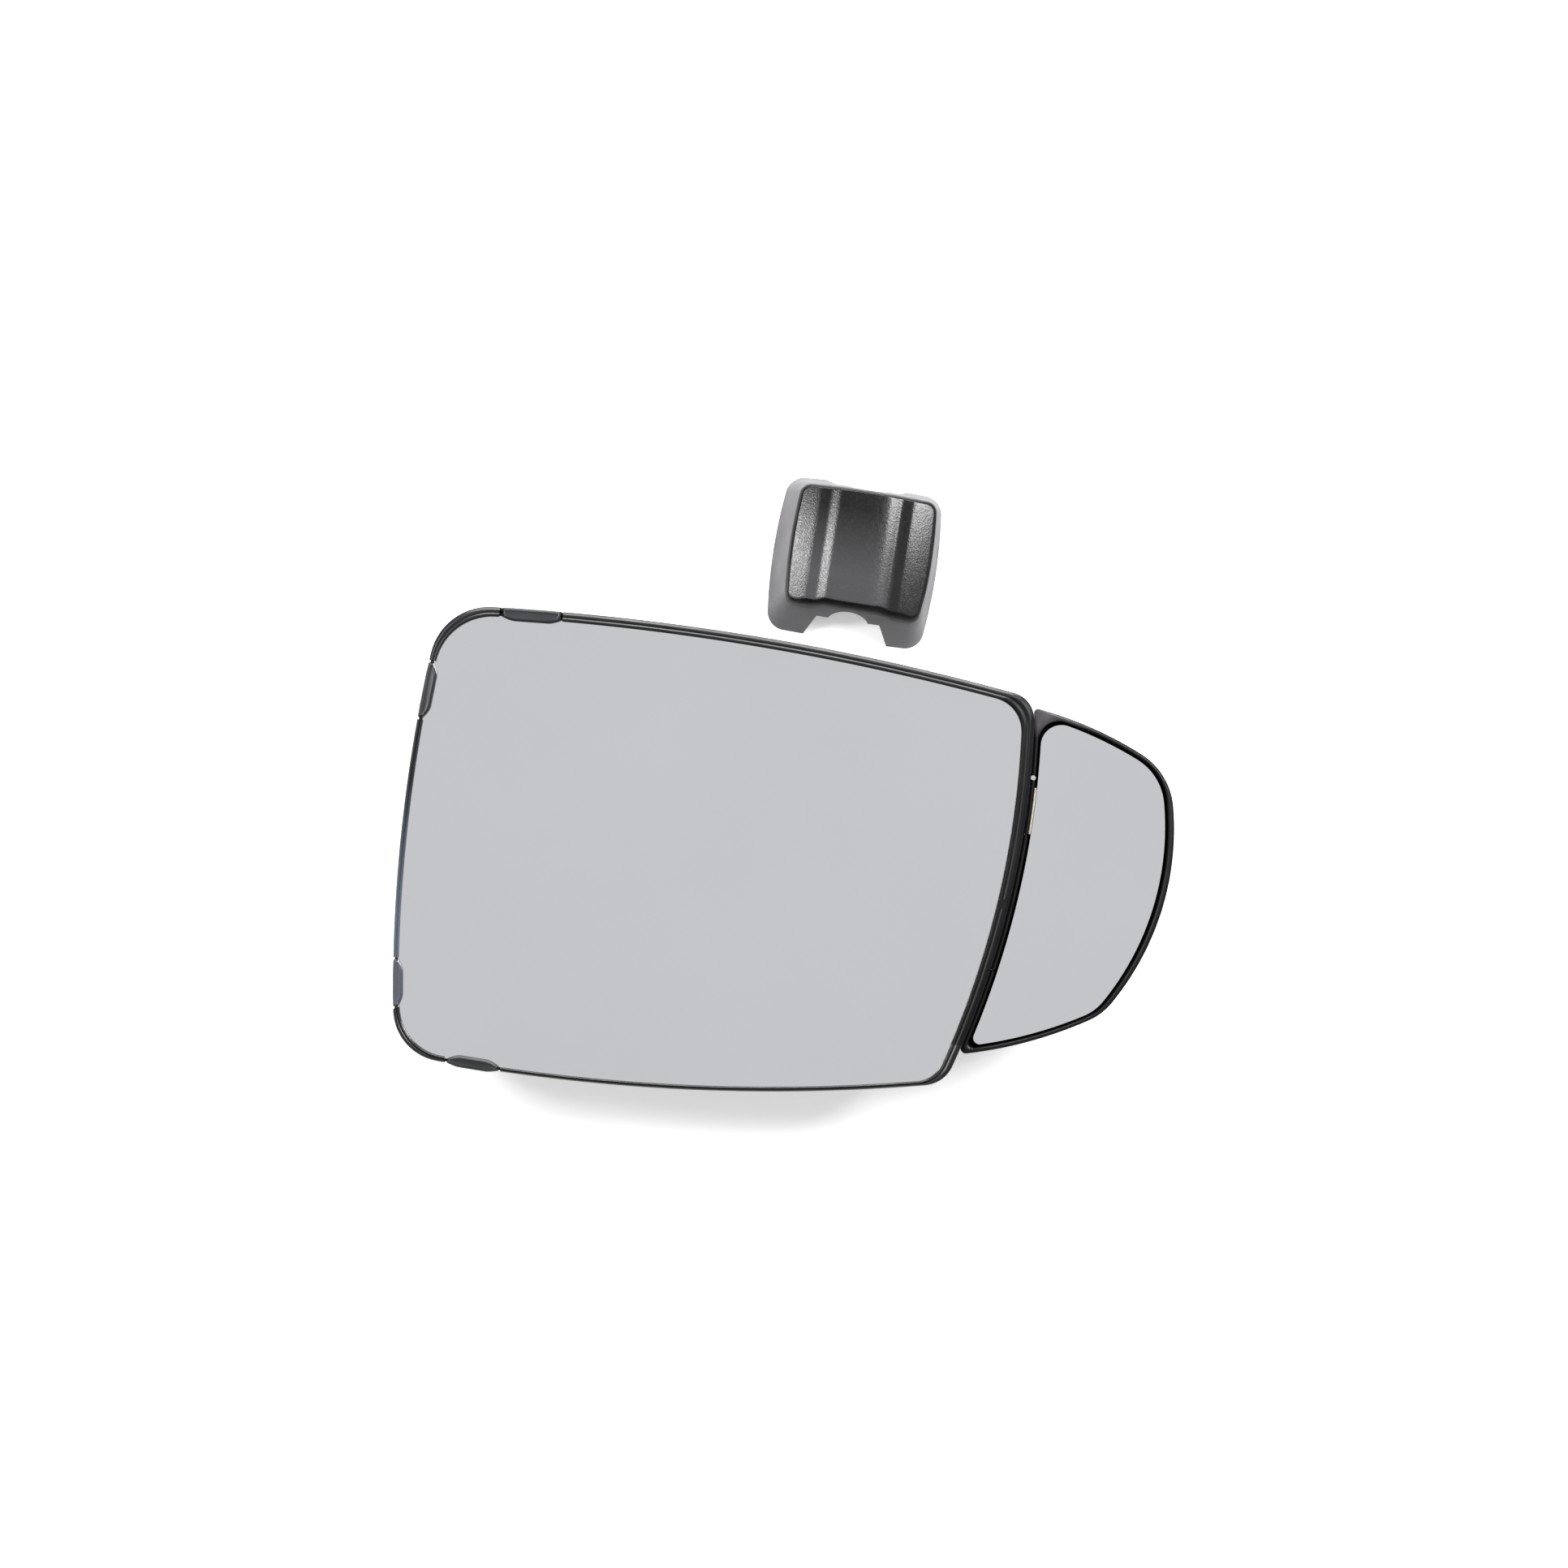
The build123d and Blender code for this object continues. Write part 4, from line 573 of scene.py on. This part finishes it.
# A darker, duller black for the face's rolled edges: painted shade
COVER_EDGE_SHADE = satin_plastic(
    "cover_edge_painted_shade", (0.0035, 0.0036, 0.0042), (0.006, 0.0062, 0.007), (0.4, 0.55), 0.16,
)
COVER_GREY = soft_grey()

NODE_MATERIALS = {
    "cast_alloy": CAST_ALLOY,
    "steel": STEEL,
    "nylon": NYLON,
    "black_plastic": HOUSING_BLACK,
    "rim_plastic": RIM_BLACK,
    "left_rim_plastic": RIM_PAINTED_REFLECTION,
    "clip_plastic": CLIP_BLACK,
    "backing_plastic": BACKING_DARK,
    "foam": FOAM,
    "mirror_glass": MIRROR,
    "felt": FELT,
    "grained_plastic": COVER_BLACK,
    "grey_soft_plastic": COVER_GREY,
}

# Hardware down in the dark seam is blackened
SEAM_HARDWARE = (
    "rim_screw", "hinge_leaf_main", "hinge_leaf_wing", "hinge_pin", "hinge_screws_main", "hinge_screws_wing",
)


def dress_cad_nodes():
    """Gives every CAD node the finish of its material slot, and blackens the seam's hardware."""
    for entry in frame["record"]["subparts"]:
        node = frame["nodes"].get(entry["node"])
        if node is None:
            continue
        blackened = entry["node"] in SEAM_HARDWARE
        finish = BLACK_STEEL if blackened else NODE_MATERIALS[entry["material_slot"]]
        for place in node.material_slots:
            place.material = finish


# ------------------------------------------------------------ mesh helpers

def new_piece(name, vertices, faces, finish, smooth=True):
    """A mesh object from points in millimetres."""
    mesh = bpy.data.meshes.new(name)
    mesh.from_pydata([tuple(c * MM for c in v) for v in vertices], [], faces)
    mesh.validate()
    work = bmesh.new()
    work.from_mesh(mesh)
    bmesh.ops.remove_doubles(work, verts=work.verts, dist=WELD_DISTANCE)
    bmesh.ops.recalc_face_normals(work, faces=work.faces)
    work.to_mesh(mesh)
    work.free()
    piece = bpy.data.objects.new(name, mesh)
    bpy.context.scene.collection.objects.link(piece)
    mesh.materials.append(finish)
    for face in mesh.polygons:
        face.use_smooth = smooth
    return piece


def claim(piece, body, slot, *nodes):
    """Ties a new piece to its body and hides the CAD nodes that it stands for. The slot is not used."""
    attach(piece, body)
    if nodes:
        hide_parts(*nodes)
    return piece


def sharpen(piece, crease):
    """Keeps edges crisp where the faces turn by more than an angle."""
    work = bmesh.new()
    work.from_mesh(piece.data)
    for edge in work.edges:
        if len(edge.link_faces) == 2:
            edge.smooth = edge.calc_face_angle(0.0) < math.radians(crease)
    work.to_mesh(piece.data)
    work.free()


def rings_to_faces(count, rows, closed_across=True, closed_along=False):
    """Quads between rows of points, which may close across the rows, along them, or both."""
    faces = []
    row_pairs = rows if closed_across else rows - 1
    column_pairs = count if closed_along else count - 1
    for row in range(row_pairs):
        above = (row + 1) % rows
        for column in range(column_pairs):
            beside = (column + 1) % count
            near, far = row * count, above * count
            faces.append((near + column, near + beside, far + beside, far + column))
    return faces


# ------------------------------------------------------------ rims

# A rim's section: the share of the band's width inward from the outer edge, and the drop from
# the rim's top. An outer bevel, a flat, a groove and an inner bead.
HEAD_RIM_SECTION = [
    (0.0, 7.0), (0.0, 1.25), (0.02, 1.0), (0.06, 0.86), (0.28, 0.24), (0.33, 0.15),
    (0.4, 0.13), (0.48, 0.16), (0.54, 0.34), (0.59, 0.42), (0.64, 0.32), (0.7, 0.08),
    (0.77, 0.0), (0.85, 0.02), (0.93, 0.2), (0.98, 0.55), (1.0, 0.8), (1.0, 7.0),
]
WING_RIM_SECTION = [
    (0.0, 3.0), (0.0, 0.85), (0.03, 0.66), (0.08, 0.54), (0.4, 0.06), (0.48, 0.0), (0.7, 0.0), (0.78, 0.06),
    (0.9, 0.4), (0.97, 0.62), (1.0, 0.8), (1.0, 3.0),
]
HINGE_COVER_DEPTH = WING_RIM_TOP - HINGE_CHANNEL_TOP
HINGE_COVER_SECTION = [(0.0, HINGE_COVER_DEPTH)] + WING_RIM_SECTION[1:-1] + [(1.0, HINGE_COVER_DEPTH)]


def swept_section(outline, widths, rounds, section, top, start, end):
    """Points of a band swept along an outline, one row for each point of its section."""
    rows = []
    for share, drop in section:
        inner_rounds = [outer + (inner - outer) * share for outer, inner in zip(outline.rounds, rounds)]
        ring = outline.inset([width * share for width in widths], inner_rounds)
        rows.append([(x, y, top - drop) for x, y in ring.trace(outline, start, end)])
    return rows


def band(name, rows, finish):
    """A solid band from the rows of its section, closed at both ends."""
    count = len(rows[0])
    vertices = [point for row in rows for point in row]
    faces = rings_to_faces(count, len(rows), True, False)
    faces.append(tuple(row * count for row in range(len(rows))))
    faces.append(tuple(row * count + count - 1 for row in reversed(range(len(rows)))))
    piece = new_piece(name, vertices, faces, finish)
    sharpen(piece, RIM_CREASE)
    return piece


def clip_reach(index, sign):
    """Where the rim stops beside a clip: its side, and the reach along the side."""
    _, side, fraction, length, _, _ = CLIPS[index]
    return side, HEAD.side(side)[2] * fraction + sign * (length / 2 + CLIP_GAP)


def shade_seam_side(piece):
    """Gives the rim's stretch beside the wing a painted shade: a darker, duller copy of the rim black."""
    piece.data.materials.append(RIM_SEAM_SHADE)
    low, high = SEAM_SHADE_SPAN
    for face in piece.data.polygons:
        middle = face.center / MM
        if middle.x > 0 and low < middle.y < high:
            face.material_index = 1


def build_head_rim():
    """The rim's segments, parted by the clips."""
    top, bottom, lower_left, upper_left = range(4)
    trimmed = [width - trim for width, trim in zip(RIM_WIDTHS, RIM_TRIMS)]
    segments = [
        ("rim_main", top, bottom, trimmed, RIM_BLACK, "rim_plastic", "main_rim"),
        ("guard_lower", bottom, lower_left, GUARD_WIDTHS, RIM_BLACK, "rim_plastic", "corner_guard_lower"),
        ("rim_left", lower_left, upper_left, trimmed, RIM_PAINTED_REFLECTION, "left_rim_plastic", "left_rim"),
        ("guard_upper", upper_left, top, GUARD_WIDTHS, RIM_BLACK, "rim_plastic", "corner_guard_upper"),
    ]
    for name, first, last, widths, finish, slot, node in segments:
        start, end = clip_reach(first, 1), clip_reach(last, -1)
        rows = swept_section(HEAD, widths, PANE_ROUNDS, HEAD_RIM_SECTION, RIM_TOP, start, end)
        piece = band(name, rows, finish)
        if node == "main_rim":
            shade_seam_side(piece)
        claim(piece, "main_head", slot, node)


# A clip's border: the distance in from its edge and the drop from its top
CLIP_BORDER = [(0.0, 1.1), (0.18, 0.75), (0.55, 0.22), (0.8, 0.05), (1.05, 0.0), (1.3, 0.12), (1.5, 0.16)]


def clip_outline(side, length, reach, stand_out):
    """A clip's lip in plan, along and out from the side: a long lens with blunt ends."""
    half = length / 2
    end_reach = RIM_WIDTHS[side] - CLIP_END_MARGIN
    stations = []
    for k in range(CLIP_STEPS + 1):
        share = k / CLIP_STEPS
        stations.append((half - CLIP_TAPER * share, math.sin(share * math.pi / 2)))
    stations = [(-place, swell) for place, swell in stations] + list(reversed(stations))
    inner = [(place, -end_reach - (reach - end_reach) * swell) for place, swell in stations]
    outer = [(place, -CLIP_END_MARGIN + (stand_out + CLIP_END_MARGIN) * swell) for place, swell in stations]
    return inner + list(reversed(outer))


def shrunk(shape, distance):
    """The shape drawn in towards its own middle by about a distance."""
    half = max(u for u, _ in shape)
    high = max(v for _, v in shape)
    low = min(v for _, v in shape)
    centre = (high + low) / 2
    across = (high - low) / 2
    return [(u * (1 - distance / half), centre + (v - centre) * (1 - distance / across)) for u, v in shape]


def stacked(rings):
    """A closed solid from rings of points that all have the same count."""
    count = len(rings[0])
    vertices = [point for ring in rings for point in ring]
    faces = rings_to_faces(count, len(rings), False, True)
    last = (len(rings) - 1) * count
    return vertices, faces + [tuple(range(count)), tuple(range(last, last + count))]


def build_clips():
    """Clips: a tapered lip with a bevelled border on the glass, and a stem in the rim's gap."""
    for name, side, fraction, length, reach, stand_out in CLIPS:
        (x, y), angle = HEAD.station(side, fraction)
        cosine, sine = math.cos(angle), math.sin(angle)

        def placed(shape, height):
            return [(x + u * cosine - v * sine, y + u * sine + v * cosine, height) for u, v in shape]

        lip = clip_outline(side, length, reach, stand_out)
        top = RIM_TOP + CLIP_RISE
        rings = [placed(lip, GLASS_TOP + CLIP_SEAT)]
        rings += [placed(shrunk(lip, distance), top - drop) for distance, drop in CLIP_BORDER]
        vertices, faces = stacked(rings)
        half = length / 2 - STEM_GAP
        wall = RIM_WIDTHS[side] - RIM_LIP - STEM_SETBACK
        stem = [(-half, -wall), (half, -wall), (half, 0.0), (-half, 0.0)]
        stem_vertices, stem_faces = stacked([placed(stem, RIM_BASE), placed(stem, GLASS_TOP + STEM_SEAT)])
        faces += [tuple(k + len(vertices) for k in face) for face in stem_faces]
        # The lower left clip takes the painted reflection copy of the clip black
        finish = CLIP_PAINTED_REFLECTION if name == "clip_lower_left" else CLIP_BLACK
        piece = new_piece("lens_" + name, vertices + stem_vertices, faces, finish)
        sharpen(piece, CLIP_CREASE)
        claim(piece, "main_head", "clip_plastic", name)


# ------------------------------------------------------------ the wing's band

def seam_side_reach(y):
    """How far up the wing's seam side a height lies."""
    return WING.reach_of(3, WING, (seam_x(y, WING_GAP / 2), y))


def build_wing_rim():
    """The wing's band, with the stretch over the hinge parted from the rest."""
    inner_rounds = [inner - WING_INNER_ROUND_TRIM for inner in WING_PANE_ROUNDS]
    low, high = seam_side_reach(HINGE_LOW_Y), seam_side_reach(HINGE_HIGH_Y)
    half_cut = BAND_CUT / 2
    stretches = [
        ("band_wing", WING_RIM_SECTION, high + half_cut, low - half_cut, "wing_rim"),
        ("band_hinge", HINGE_COVER_SECTION, low + half_cut, high - half_cut, "hinge_cover"),
    ]
    for name, section, start, end, node in stretches:
        rows = swept_section(WING, WING_RIM_WIDTHS, inner_rounds, section, WING_RIM_TOP, (3, start), (3, end))
        claim(band(name, rows, WING_BLACK), "wing", "rim_plastic", node)


def build_rub_strip():
    """A thin felt strip along the inner edge of the wing's band."""
    middle = seam_side_reach(RUB_STRIP_Y)
    low, high = middle - RUB_STRIP_LENGTH / 2, middle + RUB_STRIP_LENGTH / 2
    rings = []
    for offset, height in RUB_STRIP_SECTION:
        edge = WING.inset([offset] * 4, WING.rounds)
        rings.append([(x, y, height) for x, y in edge.side_points(3, WING, low, high)])
    claim(band("strip_felt", rings, FELT), "wing", "felt", "rub_strip")


# ------------------------------------------------------------ clamp cover

# Slope of the face across its width: place from the cover's middle, rise per millimetre.
# Outer lobes lean outward, level valleys part them from the flanks of the raised middle.
FACE_SLOPES = [
    (-29.0, 0.34), (-26.0, 0.27), (-22.5, 0.25), (-20.6, 0.2), (-19.0, -0.02), (-17.2, 0.0),
    (-15.9, 0.2), (-14.4, 0.36), (-12.8, 0.28), (-11.0, 0.06), (-7.0, 0.0), (0.0, -0.02),
    (5.0, -0.06), (8.0, -0.14), (10.5, -0.28), (13.4, -0.35), (14.4, -0.02), (18.0, 0.02),
    (19.2, -0.24), (22.0, -0.28), (25.5, -0.32), (29.0, -0.36),
]
FACE_START = FACE_SLOPES[0][0]
FACE_STEP = 0.1
FACE_STEPS = round((FACE_SLOPES[-1][0] - FACE_START) / FACE_STEP)
FACE_LEFT_HEIGHT = 13.0
FACE_LENGTH_CROWN = 0.0013
FACE_LENGTH_SHIFT = -4.0

# The rolled edge: its base, its inset from the roof, its rounds, the share of the roll that takes a painted
# shade (a darker, duller black)
FACE_EDGE_BASE = 10.3
FACE_EDGE_REVEAL = 0.3
FACE_EDGE_ROUND = 1.5
FACE_LOW_EDGE_ROUND = 4.2
FACE_EDGE_SHARE = 0.12

# The apron: how far it hangs, how much further on the lobes, where each begins and ends, its fall
FACE_APRON = 0.7
FACE_LOBE_APRON = 1.5
APRON_SPAN = (10.0, 23.0)
LOBE_SPAN = (11.0, 19.0)
FACE_APRON_SLOPE = 1.65

# The mesh's rings: how many, how far the last one is drawn in, how closely they crowd at the edge
FACE_RINGS = 64
RING_DRAW = 0.985
RING_CROWDING = 1.7

COVER_ROOF_OUTLINE = Outline(
    [
        (-COVER_HALF_WIDTH, COVER_TOP_REACH), (COVER_HALF_WIDTH, COVER_TOP_REACH),
        (COVER_HALF_WIDTH, -COVER_LOW_REACH), (-COVER_HALF_WIDTH, -COVER_LOW_REACH),
    ],
    COVER_BOWS,
    [COVER_ROUND] * 4,
)


def smooth_step(value, low, high):
    """Rises smoothly from 0 to 1 between two values."""
    share = min(max((value - low) / (high - low), 0.0), 1.0)
    return share * share * (3 - 2 * share)


def interpolate(table, place):
    """A smooth value between the rows of a table."""
    for (low, first), (high, last) in zip(table, table[1:]):
        if place <= high:
            return first + (last - first) * smooth_step(place, low, high)
    return table[-1][1]


def face_profile():
    """Heights across the face: the running sum of its slopes."""
    heights = [FACE_LEFT_HEIGHT]
    for k in range(FACE_STEPS):
        slope = interpolate(FACE_SLOPES, FACE_START + FACE_STEP * (k + 0.5))
        heights.append(heights[-1] + slope * FACE_STEP)
    return heights


FACE_HEIGHTS = face_profile()


def face_height(x, y):
    """The face's height at a place in the cover's own frame."""
    place = min(max((x - FACE_START) / FACE_STEP, 0.0), FACE_STEPS - 1.0)
    low = int(place)
    height = FACE_HEIGHTS[low] + (FACE_HEIGHTS[low + 1] - FACE_HEIGHTS[low]) * (place - low)
    return height - FACE_LENGTH_CROWN * (y - FACE_LENGTH_SHIFT) ** 2


def cover_point(x, y, z):
    """A point from the cover's own frame."""
    turn = math.radians(COVER_TURN)
    return (
        COVER_X + x * math.cos(turn) - y * math.sin(turn),
        COVER_Y + x * math.sin(turn) + y * math.cos(turn),
        z,
    )


def apron(x, y):
    """How far the face's low border hangs past the roof, further on the outer lobes."""
    lobe = smooth_step(abs(x), *LOBE_SPAN)
    return smooth_step(-y, *APRON_SPAN) * (FACE_APRON + FACE_LOBE_APRON * lobe)


def outward_normal(border, index):
    """The outward direction at a point of a closed clockwise border."""
    ahead = border[(index + 1) % len(border)]
    behind = border[index - 1]
    along = (ahead[0] - behind[0], ahead[1] - behind[1])
    length = math.hypot(*along)
    return -along[1] / length, along[0] / length


def rolled_point(place, outward, scale, base):
    """A border point drawn in by a scale: its place on the face, and its roll, 1 at the border and
    0 past the edge's round."""
    x, y = place
    distance = (1 - scale) * (x * outward[0] + y * outward[1])
    low_share = max(-outward[1], 0.0) ** 2
    radius = FACE_EDGE_ROUND + (FACE_LOW_EDGE_ROUND - FACE_EDGE_ROUND) * low_share
    roll = max(1.0 - distance / radius, 0.0)
    top = face_height(x * scale, y * scale)
    rise = math.sqrt(max(1.0 - roll * roll, 0.0))
    return cover_point(x * scale, y * scale, base + (top - base) * rise), roll


def build_cover_face():
    """The face: a grained panel with lobes, valleys and soft rolled edges."""
    roof = COVER_ROOF_OUTLINE.even_inset(FACE_EDGE_REVEAL).loop()
    drops = [apron(x, y) for x, y in roof]
    bases = [FACE_EDGE_BASE - drop * FACE_APRON_SLOPE for drop in drops]
    border = [(x, y - drop) for (x, y), drop in zip(roof, drops)]
    count = len(border)
    normals = [outward_normal(border, k) for k in range(count)]
    points = []
    for ring in range(FACE_RINGS):
        scale = 1.0 - RING_DRAW * (ring / (FACE_RINGS - 1)) ** RING_CROWDING
        points += [rolled_point(border[k], normals[k], scale, bases[k]) for k in range(count)]
    points.append((cover_point(0.0, 0.0, face_height(0.0, 0.0)), 0.0))
    vertices = [point for point, _ in points]
    rolls = [roll for _, roll in points]
    pole = len(vertices) - 1
    last = (FACE_RINGS - 1) * count
    faces = rings_to_faces(count, FACE_RINGS, False, True)
    faces += [(last + k, last + (k + 1) % count, pole) for k in range(count)]
    faces.append(tuple(reversed(range(count))))
    piece = new_piece("face_panel", vertices, faces, COVER_BLACK)
    # The rolled edges take the painted shade material
    piece.data.materials.append(COVER_EDGE_SHADE)
    for face in piece.data.polygons:
        if min(rolls[index] for index in face.vertices) > FACE_EDGE_SHARE:
            face.material_index = 1
    sharpen(piece, FACE_CREASE)
    claim(piece, "clamp_cover", "grained_plastic", "cover_face")


# ------------------------------------------------------------ floor, light, camera

def set_camera():
    """A camera that looks straight down."""
    camera = bpy.data.cameras.new("camera")
    camera.sensor_width = SENSOR_WIDTH
    camera.lens = SENSOR_WIDTH * CAMERA_DISTANCE / FRAME_WIDTH
    camera.clip_end = CAMERA_FAR_LIMIT * MM
    seat = bpy.data.objects.new("camera", camera)
    seat.location = (CAMERA_X * MM, CAMERA_Y * MM, (RIM_TOP + CAMERA_DISTANCE) * MM)
    bpy.context.scene.collection.objects.link(seat)
    bpy.context.scene.camera = seat


def set_world():
    """A studio dome: white overhead, dimmer towards the horizon, leaning slightly to the upper right."""
    world = bpy.data.worlds.new("studio")
    bpy.context.scene.world = world
    world.use_nodes = True
    tree = world.node_tree
    background = tree.nodes["Background"]
    place = tree.nodes.new("ShaderNodeTexCoord")
    axis = tree.nodes.new("ShaderNodeVectorMath")
    axis.operation = "DOT_PRODUCT"
    axis.inputs[1].default_value = DOME_LEAN
    ramp = tree.nodes.new("ShaderNodeMapRange")
    ramp.inputs["From Min"].default_value = 0.0
    ramp.inputs["From Max"].default_value = 1.0
    ramp.inputs["To Min"].default_value = DOME_HORIZON
    ramp.inputs["To Max"].default_value = DOME_TOP
    tree.links.new(place.outputs["Generated"], axis.inputs[0])
    tree.links.new(axis.outputs["Value"], ramp.inputs["Value"])
    tree.links.new(ramp.outputs["Result"], background.inputs["Strength"])
    background.inputs["Color"].default_value = (1.0, 1.0, 1.0, 1.0)


def soft_box(name, place, size, radiance):
    """A rectangular light that faces the object, as bright as it looks from there."""
    light = bpy.data.lights.new(name, "AREA")
    light.shape = "RECTANGLE"
    light.size, light.size_y = size
    light.energy = radiance * math.pi * size[0] * size[1]
    seat = bpy.data.objects.new(name, light)
    seat.location = place
    aim = Vector(LIGHT_TARGET) - Vector(place)
    seat.rotation_euler = aim.to_track_quat("-Z", "Y").to_euler()
    bpy.context.scene.collection.objects.link(seat)


def lay_floor():
    """A white floor that keeps the object's soft shadow, lifted where it is seen or mirrored."""
    finish = material("white_floor", FLOOR_COLOUR, 0.9, 0.1)
    vary_roughness(finish, noise(finish, scale=4.0), 0.85, 0.95)
    tree = finish.node_tree
    path = tree.nodes.new("ShaderNodeLightPath")
    seen = calculate(finish, "ADD", path.outputs["Is Camera Ray"], path.outputs["Is Glossy Ray"])
    seen = calculate(finish, "ADD", seen, path.outputs["Is Transmission Ray"])
    shader = tree.nodes["Principled BSDF"]
    shader.inputs["Emission Color"].default_value = (1.0, 1.0, 1.0, 1.0)
    tree.links.new(calculate(finish, "MULTIPLY", seen, FLOOR_LIFT), shader.inputs["Emission Strength"])
    half = FLOOR_HALF_WIDTH
    corners = [(-half, -half, TABLE), (half, -half, TABLE), (half, half, TABLE), (-half, half, TABLE)]
    floor = new_piece("floor", corners, [(0, 1, 2, 3)], finish, False)


# ------------------------------------------------------------ the scene

dress_cad_nodes()
build_head_rim()
build_clips()
build_wing_rim()
build_rub_strip()
build_cover_face()
set_camera()
set_world()
for box_name, box_place, box_size, box_radiance in SOFT_BOXES:
    soft_box(box_name, box_place, box_size, box_radiance)
lay_floor()
